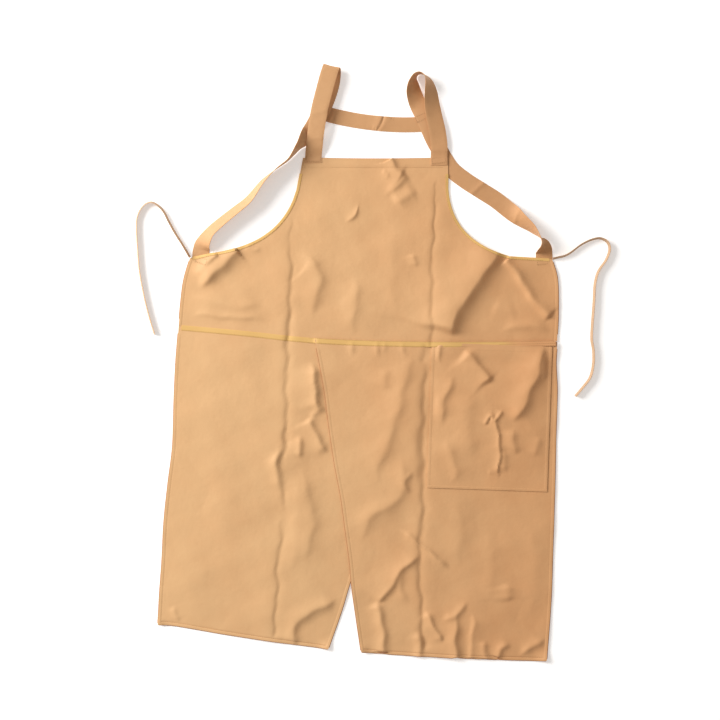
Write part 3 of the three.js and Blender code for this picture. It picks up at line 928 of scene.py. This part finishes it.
def area_of(points):
    """Flat area in m2 of a grid of points."""
    one, two = points[1:, 1:] - points[:-1, :-1], points[1:, :-1] - points[:-1, 1:]
    return float(np.abs(one[..., 0] * two[..., 1] - one[..., 1] * two[..., 0]).sum() / 2 * MM * MM)


# ---------- bib ----------
BIB_SPAN = 660  # mm across, near enough for the mesh's columns


def bib_points(size):
    """The bib's flat points, and how far each is from the nearer side edge."""
    left, right = [LEFT_BIB_EDGE, *LEFT_ARMHOLE], [RIGHT_BIB_EDGE, *RIGHT_ARMHOLE]
    across = shares_with_fine_ends(BIB_SPAN, size["pitch"])
    up = shares_with_fine_ends(length_of(left), size["pitch"])
    points = patch([WAIST], [BIB_TOP_EDGE], left, right, across, up)
    width = np.linalg.norm(points[:, -1] - points[:, 0], axis=1)[:, None]
    side = np.minimum(across, 1 - across)[None] * width
    return points, side


def make_bib(size):
    points, side = bib_points(size)
    x, y = points[..., 0], points[..., 1]
    below_corner = np.where(x < 0, CORNER_LEFT[1], CORNER_RIGHT[1]) + 4 - y
    top_hem = BIB_TOP - size["top_hem_depth"]
    relief = hem_relief(side) * smoothstep(below_corner, 0, 12)
    relief = relief + 0.5 * smoothstep(y, top_hem - 2, top_hem + 2)
    relief = relief - 0.45 * np.exp(-(((y - top_hem) / 1.3) ** 2))
    piece = make_cloth(size, "bib_cloth", points, bib_z(x, y) + relief)
    area = area_of(points)
    settle(piece, UPPER, "apron_cloth", "bib_panel")


# ---------- skirt ----------
SKIRTS = {
    LEFT_SKIRT: {
        "z": left_z,
        "turn": math.radians(-5.2),
        "flat": (0.44, 0.533),
        "top": [(-342, 26), (-319, 24), (-212, 14), (-150, 7), (-91, 2), (-4, -7), (98, -18)],
        "bottom": LEFT_HEM,
        "west": LEFT_EDGE,
        "east": [LEFT_INNER_TOP, (40, -195), (-34, -421), (-53, -484), LEFT_INNER_BOTTOM],
    },
    RIGHT_SKIRT: {
        "z": right_z,
        "turn": math.radians(-1.0),
        "flat": (0.432, 0.572),
        "top": [(-100, 1), (-91, 1), (-4, -3), (107, -5), (230, -5), (331, -3)],
        "bottom": RIGHT_HEM,
        "west": VENT_EDGE,
        "east": RIGHT_EDGE,
    },
}
# Hem corners that curl up: place, rise and reach.
CURLS = {
    LEFT_SKIRT: [(LEFT_HEM[0], 3.5, 11), (LEFT_HEM[-1], 4.0, 12)],
    RIGHT_SKIRT: [(RIGHT_HEM[0], 4.0, 12), (RIGHT_HEM[-1], 4.0, 13)],
}
SKIRT_SPAN, SKIRT_DROP = 350, 550  # mm, near enough for the mesh's columns and rows


def skirt_z(body):
    """The height of a skirt panel, with its curled corners, as a function of flat place."""

    def height(x, y):
        curl = sum(
            rise * np.exp(-((np.hypot(x - cx, y - cy) / reach) ** 2))
            for (cx, cy), rise, reach in CURLS[body]
        )
        return SKIRTS[body]["z"](x, y) + curl

    return height


def make_skirt(size, body):
    cut = SKIRTS[body]
    across = shares_with_fine_ends(SKIRT_SPAN, size["pitch"])
    up = shares_with_fine_ends(SKIRT_DROP, size["pitch"])
    points = patch([cut["bottom"]], [cut["top"]], [cut["west"][::-1]], [cut["east"][::-1]], across, up)
    x, y = points[..., 0], points[..., 1]
    width = np.linalg.norm(points[:, -1] - points[:, 0], axis=1)[:, None]
    height = np.linalg.norm(points[-1] - points[0], axis=1)[None]
    side, low = np.minimum(across, 1 - across)[None] * width, up[:, None] * height
    relief = np.where(side < low, hem_relief(side), hem_relief(low, groove=0.8))
    z = skirt_z(body)(x, y) + relief * smoothstep(waist_y(x) - y, 10, 22)
    piece = make_cloth(size, f"{body}_cloth", points, z, cut["turn"])
    area = area_of(points)
    settle(piece, body, "apron_cloth", f"{body}_panel")


# ---------- hems and seams ----------
HEM_FINISH = "turned hem twill"
HEM_OUT = 1.2  # mm that a hem's folded side stands out from under its cloth
HEM_GAP = 0.2  # mm between a cloth and what is turned under it
FACING_WIDTH, FACING_THICKNESS, FACING_LEVEL = 20, 1.0, 0.75
ALLOWANCE_WIDTH = 11


def make_band(name, line, width, thickness, z_of, lift, finish):
    """A flat band that lies along a line on a cloth."""
    return make_tube(name, lying_band(line, width, flat_profile(width, thickness), z_of, lift, 1), finish)


def level(height):
    """A flat height as a function of flat place."""
    return lambda x, y: np.full_like(x, height)


def turned_under(size):
    """The lift that puts a turned hem under its cloth."""
    return -(size["cloth"] + size["hem_thickness"]) / 2 - HEM_GAP


def hem_line(curve, side, width, drawn_in=(0, 0)):
    """The middle of a hem along an edge: its outer side stands a little out of the cloth."""
    whole = length_of([curve])
    shares = np.linspace(drawn_in[0] / whole, 1 - drawn_in[1] / whole, int(whole / 4))
    return inset(even_line([curve], shares), side * (width / 2 - HEM_OUT))


def make_skirt_hems(size, body):
    """The turned hems lie under the panel's edges, their folded sides just showing."""
    width, thick = size["hem_width"], size["hem_thickness"]
    cut = SKIRTS[body]
    outer, inner = ("west", "east") if body == LEFT_SKIRT else ("east", "west")
    turn = 1 if body == LEFT_SKIRT else -1
    vent = "left_vent_hem" if body == LEFT_SKIRT else "right_vent_hem"
    lines = {
        f"{body}_side_hem": hem_line(cut[outer], turn, width, (14, 3)),
        f"{body}_bottom_hem": hem_line(cut["bottom"], 1, width, (1, 1)),
        vent: hem_line(cut[inner], -turn, width, (16, 3)),
    }
    for node, line in lines.items():
        piece = make_band(f"{node}_fold", line, width, thick, skirt_z(body), turned_under(size), HEM_FINISH)
        settle(piece, body, "hem_cloth", node)


def make_bib_hems(size):
    """The hems under the bib's sides and the deeper one under its top."""
    width, thick = size["hem_width"], size["hem_thickness"]
    sides = {"left_bib_side_hem": (LEFT_BIB_EDGE, -1), "right_bib_side_hem": (RIGHT_BIB_EDGE, 1)}
    for node, (curve, side) in sides.items():
        line = hem_line(curve, side, width, (12, 6))
        piece = make_band(f"{node}_fold", line, width, thick, bib_z, turned_under(size), HEM_FINISH)
        settle(piece, UPPER, "hem_cloth", node)
    depth = size["top_hem_depth"]
    top = even_line([BIB_TOP_EDGE], np.linspace(0.02, 0.98, 80))
    top = top - (0, depth / 2 - 0.6)
    piece = make_band("bib_top_hem_fold", top, depth, thick, bib_z, turned_under(size), HEM_FINISH)
    settle(piece, UPPER, "hem_cloth", "bib_top_hem")


def make_waist_seams(size):
    """What is turned under at the waist: a facing behind the seam and the over panel's allowance."""
    x = np.linspace(-330, 326, 150)
    facing = np.column_stack([x, waist_y(x) + 2])
    flat = level(FACING_LEVEL)
    piece = make_band("waist_facing_tape", facing, FACING_WIDTH, FACING_THICKNESS, flat, 0, HEM_FINISH)
    settle(piece, UPPER, "hem_cloth", "waist_seam_facing")
    x = np.linspace(-91, 322, 100)
    allowance = np.column_stack([x, waist_y(x) - 6.4])
    name, thick = "right_skirt_allowance_fold", size["hem_thickness"]
    piece = make_band(name, allowance, ALLOWANCE_WIDTH, thick, right_z, turned_under(size), HEM_FINISH)
    settle(piece, RIGHT_SKIRT, "hem_cloth", "right_skirt_seam_allowance")


# ---------- trim ----------
BINDING_THICKNESS, BAND_THICKNESS = 0.4, 0.7


def make_bindings(size):
    """Golden tape folded round each armhole's edge."""
    width = size["binding_width"]
    profile = wrapped_profile(width, BINDING_THICKNESS, size["cloth"] + 0.3)
    for side, armhole, turn in (("left", LEFT_ARMHOLE, 1), ("right", RIGHT_ARMHOLE, -1)):
        edge = even_line(armhole, np.linspace(0.015, 0.905, 150))
        line = inset(edge, -turn * (width / 2 - 0.9))
        rings = lying_band(line, width, profile, bib_z, 0, turn)
        piece = make_tube(f"{side}_armhole_tape", rings, "golden binding")
        settle(piece, UPPER, "golden_trim", f"{side}_armhole_binding")


def band_z(x, y):
    """Height of what the golden band lies on: the bib, then the over panel, then the pocket's mouth."""
    on_panel = right_z(x, y) + 1.7 * smoothstep(x, 92, 108)
    return bib_z(x, y) + (on_panel - bib_z(x, y)) * smoothstep(x, -104, -94)


def make_waist_band(size):
    """The golden band along the waist seam."""
    width = size["band_width"]
    x = np.linspace(-337, 328, 330)
    line = np.column_stack([x, waist_y(x) - width / 2 + 0.8])
    lift = (size["cloth"] + BAND_THICKNESS) / 2 - 0.05
    piece = make_band("waist_gold_band", line, width, BAND_THICKNESS, band_z, lift, "golden band")
    settle(piece, UPPER, "golden_trim", "waist_topstitch_band")


# ---------- pocket ----------
POCKET_TOP = spot(321.9, -12.0)
POCKET_DOWN = spot(-0.035, -0.9994)
POCKET_IN = spot(-0.9994, 0.035)
POCKET_WIDTH, POCKET_HEIGHT, POCKET_MOUTH = 214, 258, 12
SEAM_IN, SEAM_WIDTH, SEAM_THICKNESS, SEAM_LIFT = 2.6, 5, 0.3, 0.5


def on_pocket(inward, down):
    """Flat points from shares of the pocket's width, from its outer side, and of its height."""
    inward, down = np.broadcast_arrays(inward * POCKET_WIDTH, down * POCKET_HEIGHT)
    return POCKET_TOP + inward[..., None] * POCKET_IN + down[..., None] * POCKET_DOWN


def pocket_surface(size, inward, down, points):
    """Height of the pocket's front: it stands off the skirt most in its middle and gapes at its mouth."""
    x, y = points[..., 0], points[..., 1]
    crown = (1 - np.abs(2 * inward - 1) ** 3) * (1 - smoothstep(down, 0.72, 1))
    crown = crown * (0.45 + 0.55 * smoothstep(down, 0, 0.4))
    edge = np.minimum(np.minimum(inward, 1 - inward) * POCKET_WIDTH, (1 - down) * POCKET_HEIGHT)
    free = smoothstep(edge, 2, 16)
    relief = hem_relief(edge, groove=0.3)
    folds = folds_height(x, y, POCKET_FOLDS) * free
    return right_z(x, y) + 1.0 + relief + size["pocket_room"] * crown + folds


def pocket_z(size):
    """The pocket's height as a function of flat place."""

    def height(x, y):
        away = np.stack([x, y], axis=-1) - POCKET_TOP
        inward = np.clip(away @ POCKET_IN / POCKET_WIDTH, 0, 1)
        down = np.clip(away @ POCKET_DOWN / POCKET_HEIGHT, 0, 1)
        return pocket_surface(size, inward, down, np.stack([x, y], axis=-1))

    return height


def make_pocket(size):
    """The pocket's front, the hem at its mouth and what is turned under at its other sides."""
    inward = shares_with_fine_ends(POCKET_WIDTH, size["pitch"] * 0.8)[None]
    down = shares_with_fine_ends(POCKET_HEIGHT, size["pitch"] * 0.8)[:, None]
    points = on_pocket(inward, down)
    z = pocket_surface(size, inward, down, points)
    piece = make_cloth(size, "pocket_cloth", points, z, POCKET_IN[1])
    settle(piece, RIGHT_SKIRT, "apron_cloth", "pocket_front")

    z_of = pocket_z(size)
    mouth = on_pocket(np.linspace(0.004, 0.996, 110), POCKET_MOUTH / 2 / POCKET_HEIGHT - 0.002)
    piece = make_band("pocket_mouth_fold", mouth, POCKET_MOUTH, 0.4, z_of, -0.55, HEM_FINISH)
    settle(piece, RIGHT_SKIRT, "hem_cloth", "pocket_mouth_hem")

    ways = {
        "pocket_outer_side_seam": (SEAM_IN / POCKET_WIDTH, np.linspace(0, 0.975, 90)),
        "pocket_inner_side_seam": (1 - SEAM_IN / POCKET_WIDTH, np.linspace(0, 0.975, 90)),
        "pocket_bottom_seam": (np.linspace(0, 1, 80), 1 - SEAM_IN / POCKET_HEIGHT),
    }
    for node, (way_in, way_down) in ways.items():
        line = on_pocket(way_in, way_down)
        name = f"{node}_fold"
        piece = make_band(name, line, SEAM_WIDTH, SEAM_THICKNESS, right_z, SEAM_LIFT, HEM_FINISH)
        settle(piece, RIGHT_SKIRT, "hem_cloth", node)


# ---------- straps and ties ----------
# A station is a point from its own origin, the height of the ribbon's lower edge, and in degrees the
# bearing of its width and how far its width is tilted up.
BACK_LIFT = 2.2
LEFT_FOOT, RIGHT_FOOT = BIB_LEFT + (18.7, 0), BIB_RIGHT - (16, 0)
LEFT_END, RIGHT_END = CORNER_LEFT + (18, 0), CORNER_RIGHT - (14, 0)
LEFT_STRAP = [
    (LEFT_FOOT, [
        (0, -9, 2.8, 0, 0), (0, 3, 3.1, 0, 0), (1.8, 21, 9, -5, 0), (5.3, 50, 14, -10, 0),
        (11.3, 85, 16, -12, 0), (20.3, 121, 17, -14, 0), (27.3, 146, 18, -14, 0),
        (32.3, 161, 11, -14, 0), (33.8, 157, 4, -16, 0), (32.3, 135, BACK_LIFT, -18, 0),
        (24.3, 107, BACK_LIFT, -22, 0), (9.3, 73, BACK_LIFT, -28, 0), (-4.7, 48, 0.3, -34, -10),
        (-15.7, 33, 0.3, -36, -45), (-25.7, 20, 0.3, -38, -72), (-43.7, -4, 0.3, -50, -90),
    ]),
    (LEFT_END, [
        (136, 157, 0.3, -47, -95), (112, 135, 0.3, -43, -108), (87, 103, 0.3, -43, -120),
        (64, 84, 0.3, -51, -124), (39, 64, 0.3, -50, -127), (18, 45, 0.3, -42, -131),
        (7, 28, 0, -27, -150), (2, 14, 0, -11, -180), (0, -7, 0, -5, -180),
    ]),
]
RIGHT_STRAP = [
    (RIGHT_FOOT, [
        (0, -13, 2.8, 0, 0), (0, 1, 3.1, 0, 0), (0, 20, 6, 1, -0.5), (-3, 46, 6, 6, -8),
        (-9, 74, 4.5, 9, -14), (-13, 97, 3, 9, -24), (-15, 117, 1.5, 8, -40), (-19, 134, 0.6, 18, -60),
        (-26, 145, 0.3, 50, -80), (-35, 148.5, 0.3, 90, -90), (-43, 144, 0.3, 132, -102),
        (-46.5, 134, 0.3, 163, -122), (-46, 121, 0.3, 178, -146), (-42, 106, 0.8, 188, -166),
        (-36, 91, 1.6, 196, -180), (-28, 75, BACK_LIFT, 200, -180), (-18, 52, BACK_LIFT, 204, -180),
        (-9, 32, 1.2, 208, -180),
    ]),
    (BIB_RIGHT, [
        (-15, 14, 0.15, 212, -180), (-5, -4, 0.15, 218, -180), (7, -21, 0.15, 226, -180),
        (30, -39.5, 0.15, 235, -180),
    ]),
    (RIGHT_END, [
        (-114, 123, 0.3, 234, -180), (-87, 106, 0.3, 235, -180), (-63, 87, 0.3, 232, -188),
        (-42, 69, 0.3, 50, 45), (-21, 52, 0.3, 46, 70), (-6, 34, 0.3, 32, 100),
        (-1, 20, 0.3, 12, 150), (0, 9, 0, 2, 180), (0, -12, 0, 0, 180),
    ]),
]
LEFT_TIE = [
    (0.3, 0.7), (-12, 22), (-26, 44), (-37, 64), (-47, 83), (-58, 94), (-69, 99), (-80, 95), (-88, 86),
    (-94, 71), (-95, 51), (-93, 16), (-90, -21), (-83, -61), (-74, -99), (-63, -136),
]
RIGHT_TIE = [
    (1.3, 0.6), (26, 7), (53, 26), (73, 35), (86, 36.5), (98, 30), (102, 18), (96, -1), (82, -22),
    (76, -44), (74, -77), (71, -118), (70, -143), (73, -162), (73, -186), (67, -211), (52, -231),
    (41, -244),
]
TIE_TILT = 72


def stations_of(groups):
    """Stations of several origins as one array in the apron's frame."""
    return np.concatenate([np.array(rows, float) + (*origin, 0, 0, 0) for origin, rows in groups])


def ribbon(stations, width, thickness, steps_each, corners):
    """A ribbon through stations (x, y, lift, bearing, roll). Its middle is half its width times the
    sine of its roll above its lower edge, and both its middle and the direction of its width follow
    smooth curves through the stations. No ring is left below the table. Returns the rings.
    """
    x, y, lift, bearing, roll = stations.T
    bearing, roll = np.radians(bearing), np.radians(roll)
    rise = width / 2 * np.abs(np.sin(roll)) + thickness / 2
    middles = np.column_stack([x, y, lift + rise])
    widths = np.column_stack([
        np.cos(bearing) * np.cos(roll), np.sin(bearing) * np.cos(roll), np.sin(roll),
    ])
    shares = np.linspace(0, 1, (len(stations) - 1) * steps_each + 1)
    line = through(middles, shares)
    rings = carried(line, through(widths, shares), flat_profile(width, thickness, corners))
    sunk = np.minimum(rings[..., 2].min(axis=1), 0)
    rings[..., 2] -= sunk[:, None]
    return rings


def creased(rings):
    """A strap's rings raised by the creases across them."""
    return rings + (0, 0, 1) * folds_height(rings[..., 0], rings[..., 1], STRAP_FOLDS)[..., None]


def make_straps(size):
    """Both shoulder straps, and the strap across, which sags between them along a parabola."""
    width, thick = size["strap_width"], size["strap_thickness"]
    for side, route in (("left", LEFT_STRAP), ("right", RIGHT_STRAP)):
        rings = ribbon(stations_of(route), width, thick, 12, 9)
        piece = make_tube(f"{side}_shoulder_webbing", creased(rings), "strap twill")
        settle(piece, UPPER, "strap_cloth", f"{side}_shoulder_strap")
    start, end = LEFT_FOOT + (8.3, 82), RIGHT_FOOT + (-23, 60)
    share = np.linspace(0, 1, 6)
    sag = 4 * share * (1 - share) * 8.5
    flat = start + share[:, None] * (end - start)
    rows = np.column_stack([flat[:, 0], flat[:, 1] - sag, share * 0, 85 - 4 * share, share * 0])
    rings = ribbon(rows, width * 0.9, thick, 40, 9)
    piece = make_tube("cross_webbing", creased(rings), "strap twill")
    settle(piece, UPPER, "strap_cloth", "cross_strap")


def tie_stations(corner, points):
    """A tie's stations: flat on its points, its width square to its way and tilted nearly on edge."""
    points = np.array(points, float)
    way = np.concatenate([points[1:2] - points[:1], points[2:] - points[:-2], points[-1:] - points[-2:-1]])
    bearing = np.degrees(np.arctan2(way[:, 1], way[:, 0])) + 90
    bearing = np.degrees(np.unwrap(np.radians(bearing)))
    flat = points + corner
    return np.column_stack([flat, bearing * 0, bearing, bearing * 0 + TIE_TILT])


def make_ties(size):
    """Both ties, each a flat tape with a bare end."""
    width, thick = size["tie_width"], size["tie_thickness"]
    for side, corner, points in (("left", CORNER_LEFT, LEFT_TIE), ("right", CORNER_RIGHT, RIGHT_TIE)):
        stations = tie_stations(corner, points)
        rings = ribbon(stations, width, thick, 8, 6)
        middles = rings.mean(axis=1)
        piece = make_tube(f"{side}_tie_tape", rings, "tie tape")
        settle(piece, UPPER, "tie_tape", f"{side}_tie")
        exit_point = tuple(middles[0] * MM)
        width * MM
        [tuple(p) for p in middles * MM]


# ---------- stitching ----------
def make_stitching(size, name, rows, body, *nodes, brown=False):
    """Rows of stitches as one piece. A row is a line, the height of what it is sewn to and a lift."""
    parts = [
        stitches(line, z_of, lift, size["stitch_length"], size["stitch_pitch"]) for line, z_of, lift in rows
    ]
    vertices, faces = merged(parts)
    thread = "brown thread" if brown else "sewing thread"
    piece = make_piece(name, vertices, faces, finish_of(thread), None, 60)
    settle(piece, body, "golden_trim" if brown else "hem_cloth", *nodes)


def across_strap(middle, turn, reach):
    """A line across a strap, in mm."""
    way = spot(math.cos(math.radians(turn)), math.sin(math.radians(turn)))
    return middle + np.linspace(-1, 1, 9)[:, None] * reach * way


def make_strap_stitching(size):
    """Two rows across each strap where it is sewn down, joined at their ends. Their dark brown thread is
    also a painted shadow line at each strap's cut end.
    """
    spots = {
        "left_strap_stitching": (LEFT_FOOT + (0, -6), 0, 12, level(4.35)),
        "right_strap_stitching": (RIGHT_FOOT + (0, -9), 6, 12, level(4.35)),
        "left_corner_stitching": (CORNER_LEFT + (19, -9), -20, 10, bib_z),
        "right_corner_stitching": (CORNER_RIGHT + (-17, -9), 5, 9, bib_z),
        "cross_strap_left_stitching": (LEFT_FOOT + (14.3, 84), -22, 11, level(3.75)),
        "cross_strap_right_stitching": (RIGHT_FOOT + (-29, 68), 24, 11, level(3.75)),
    }
    for node, (middle, turn, reach, z_of) in spots.items():
        way = spot(-math.sin(math.radians(turn)), math.cos(math.radians(turn)))
        lines = [across_strap(middle + way * offset, turn, reach) for offset in (-1.5, 0, 9)]
        lines += [np.linspace(lines[0][end], lines[2][end], 5) for end in (0, -1)]
        lift = 0.35 if z_of is bib_z else 0.1
        rows = [(line, z_of, lift) for line in lines]
        make_stitching(size, f"{node}_rows", rows, UPPER, node, brown=True)


def make_hem_stitching(size):
    """Rows along the hems, bindings, waist band and pocket."""
    depth = STITCH_DEPTH
    top_row = np.column_stack([np.linspace(-113, 128, 90), np.full(90, BIB_TOP - size["top_hem_depth"])])
    on_bib = [
        (inset(even_line([LEFT_BIB_EDGE], np.linspace(0.02, 0.94, 60)), -depth), bib_z, 0.1),
        (inset(even_line([RIGHT_BIB_EDGE], np.linspace(0.02, 0.94, 60)), depth), bib_z, 0.1),
        (top_row, bib_z, 0.35),
    ]
    make_stitching(size, "bib_hem_thread", on_bib, UPPER)
    trim = [
        (inset(even_line(LEFT_ARMHOLE, np.linspace(0.05, 0.9, 150)), -3.8), bib_z, 0.85),
        (inset(even_line(RIGHT_ARMHOLE, np.linspace(0.05, 0.9, 150)), 3.8), bib_z, 0.85),
    ]
    width = size["band_width"]
    # The row along the band's top edge, from x -110, is dark brown thread and also a painted shadow line
    # for the over panel's lapped top edge.
    whole, right_end = np.linspace(-110, 327, 240), np.linspace(228, 327, 60)
    low_edge = np.linspace(-336, 327, 300)
    for x, down in ((whole, -0.2), (right_end, width / 2 - 0.8), (low_edge, width - 1.9)):
        trim.append((np.column_stack([x, waist_y(x) - down]), band_z, 0.95))
    make_stitching(size, "trim_thread", trim, UPPER, brown=True)
    for body, cut in SKIRTS.items():
        west = inset(even_line([cut["west"]], np.linspace(0.03, 0.985, 200)), depth)
        east = inset(even_line([cut["east"]], np.linspace(0.03, 0.985, 200)), -depth)
        low = inset(even_line([cut["bottom"]], np.linspace(0.015, 0.985, 120)), depth)
        rows = [(line, skirt_z(body), 0.1) for line in (west, east, low)]
        make_stitching(size, f"{body}_hem_thread", rows, body)
    z_of = pocket_z(size)
    near = 2.0
    rows = []
    for gap in (near, depth):
        share_in, share_down = gap / POCKET_WIDTH, gap / POCKET_HEIGHT
        rows.append((on_pocket(share_in, np.linspace(0, 1 - share_down, 120)), z_of, 0.25))
        rows.append((on_pocket(1 - share_in, np.linspace(0, 1 - share_down, 120)), z_of, 0.25))
        rows.append((on_pocket(np.linspace(share_in, 1 - share_in, 100), 1 - share_down), z_of, 0.25))
    hem = (POCKET_MOUTH - 1.6) / POCKET_HEIGHT
    rows.append((on_pocket(np.linspace(0.03, 0.97, 100), hem), z_of, 0.25))
    make_stitching(size, "pocket_thread", rows, RIGHT_SKIRT)


# ---------- stage ----------
# In metres, apart from the lens and the floor, which are in mm.
VIEW_MIDDLE = (-0.0196, -0.0356)
CAMERA_HEIGHT = 3.026
CAMERA_LENS, SENSOR_WIDTH = 85, 36
KEY_PLACE, KEY_TARGET, KEY_WIDTH = (-3.0, 1.35, 1.9), (0.05, -0.05, 0), 2.0
SURROUNDINGS = (1.0, 0.93, 0.88, 1.0)
FLOOR_REACH, FLOOR_BOTTOM, FLOOR_TOP = 6000, -20.0, -0.15


def aim(obj, place, target):
    """Puts a light or camera at a place, its own -Z towards a target and its own Y upwards."""
    place, target = np.array(place, float), np.array(target, float)
    back = (place - target) / np.linalg.norm(place - target)
    up = np.array([0, 1, 0]) if abs(back[2]) > 0.99 else np.array([0, 0, 1])
    side = np.cross(up, back)
    side /= np.linalg.norm(side)
    turned = np.eye(4)
    turned[:3, 0], turned[:3, 1], turned[:3, 2] = side, np.cross(back, side), back
    turned[:3, 3] = place
    obj.matrix_world = Matrix(turned)


def make_stage(stage):
    """A camera straight above, one soft light, a pale world and a table."""
    camera_data = bpy.data.cameras.new("apron_camera")
    camera_data.lens = CAMERA_LENS
    camera_data.sensor_width = SENSOR_WIDTH
    camera_data.dof.use_dof = False
    camera = bpy.data.objects.new("apron_camera", camera_data)
    bpy.context.collection.objects.link(camera)
    aim(camera, (*VIEW_MIDDLE, CAMERA_HEIGHT), (*VIEW_MIDDLE, 0))
    bpy.context.scene.camera = camera

    key_data = bpy.data.lights.new("key_light", "AREA")
    key_data.energy = stage.key
    key_data.size = KEY_WIDTH
    key = bpy.data.objects.new("key_light", key_data)
    bpy.context.collection.objects.link(key)
    aim(key, KEY_PLACE, KEY_TARGET)

    world = bpy.data.worlds.new("studio")
    world.use_nodes = True
    background = world.node_tree.nodes["Background"]
    background.inputs["Color"].default_value = SURROUNDINGS
    background.inputs["Strength"].default_value = stage.fill
    bpy.context.scene.world = world
    bpy.context.scene.view_settings.view_transform = "Standard"

    corners = np.array([(-1, -1), (1, -1), (1, 1), (-1, 1)], float) * FLOOR_REACH
    low, high = np.full((4, 1), FLOOR_BOTTOM), np.full((4, 1), FLOOR_TOP)
    vertices = np.concatenate([np.hstack([corners, low]), np.hstack([corners, high])])
    sides = [[k, (k + 1) % 4, 4 + (k + 1) % 4, 4 + k] for k in range(4)]
    faces = np.array([[3, 2, 1, 0], [4, 5, 6, 7], *sides])
    floor = make_piece("table_top", vertices, faces, floor_finish("pale table", tuple(stage.floor)))


# ---------- operators ----------
class APRON_OT_stage(bpy.types.Operator):
    """Camera, soft light from the left, and a pale table"""

    bl_idname = "apron.stage"
    bl_label = "Stage"

    def execute(self, context):
        make_stage(context.scene.apron_stage)
        return {"FINISHED"}


class APRON_OT_ties(bpy.types.Operator):
    """Two flat tapes that lie nearly on edge from the bib's side corners"""

    bl_idname = "apron.ties"
    bl_label = "Ties"

    def execute(self, context):
        make_ties(sizes_mm())
        return {"FINISHED"}


class APRON_OT_bib(bpy.types.Operator):
    """The bib's cloth, its turned hems and the facing behind the waist seam"""

    bl_idname = "apron.bib"
    bl_label = "Bib"

    def execute(self, context):
        size = sizes_mm()
        make_bib(size)
        make_bib_hems(size)
        make_waist_seams(size)
        return {"FINISHED"}


class APRON_OT_skirt(bpy.types.Operator):
    """Both skirt panels and their turned hems"""

    bl_idname = "apron.skirt"
    bl_label = "Skirt"

    def execute(self, context):
        size = sizes_mm()
        for body in (LEFT_SKIRT, RIGHT_SKIRT):
            make_skirt(size, body)
            make_skirt_hems(size, body)
        return {"FINISHED"}


class APRON_OT_pocket(bpy.types.Operator):
    """The patch pocket, its mouth hem and its seams"""

    bl_idname = "apron.pocket"
    bl_label = "Pocket"

    def execute(self, context):
        make_pocket(sizes_mm())
        return {"FINISHED"}


class APRON_OT_trim(bpy.types.Operator):
    """Golden tape round the armholes and along the waist seam"""

    bl_idname = "apron.trim"
    bl_label = "Golden trim"

    def execute(self, context):
        size = sizes_mm()
        make_bindings(size)
        make_waist_band(size)
        return {"FINISHED"}


class APRON_OT_straps(bpy.types.Operator):
    """Two shoulder straps and the strap across the back of the neck"""

    bl_idname = "apron.straps"
    bl_label = "Straps"

    def execute(self, context):
        make_straps(sizes_mm())
        return {"FINISHED"}


class APRON_OT_stitching(bpy.types.Operator):
    """Stitches along the hems and tapes, and where the straps are sewn down"""

    bl_idname = "apron.stitching"
    bl_label = "Stitching"

    def execute(self, context):
        size = sizes_mm()
        make_strap_stitching(size)
        make_hem_stitching(size)
        return {"FINISHED"}


OPERATORS = (
    APRON_OT_stage, APRON_OT_ties, APRON_OT_bib, APRON_OT_skirt, APRON_OT_pocket, APRON_OT_trim,
    APRON_OT_straps, APRON_OT_stitching,
)
GROUPS = {"apron_sizes": ApronSizes, "apron_colours": ApronColours, "apron_stage": ApronStage}


class APRON_PT_panel(bpy.types.Panel):
    """The apron's settings and the buttons that build it"""

    bl_idname = "APRON_PT_panel"
    bl_label = "Apron"
    bl_space_type = "VIEW_3D"
    bl_region_type = "UI"
    bl_category = "Apron"

    def draw(self, context):
        for attribute, group in GROUPS.items():
            box = self.layout.box()
            for name in group.__annotations__:
                box.prop(getattr(context.scene, attribute), name)
        for operator in OPERATORS:
            self.layout.operator(operator.bl_idname)


def register():
    for made in (*GROUPS.values(), *OPERATORS, APRON_PT_panel):
        bpy.utils.register_class(made)
    for attribute, group in GROUPS.items():
        setattr(bpy.types.Scene, attribute, bpy.props.PointerProperty(type=group))


def unregister():
    for attribute in GROUPS:
        delattr(bpy.types.Scene, attribute)
    for made in (APRON_PT_panel, *reversed(OPERATORS), *reversed(GROUPS.values())):
        bpy.utils.unregister_class(made)


def main():
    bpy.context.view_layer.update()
    register()
    bpy.ops.apron.stage()
    bpy.ops.apron.ties()
    bpy.ops.apron.bib()
    bpy.ops.apron.skirt()
    bpy.ops.apron.pocket()
    bpy.ops.apron.trim()
    bpy.ops.apron.straps()
    bpy.ops.apron.stitching()


if __name__ == "__main__":
    main()
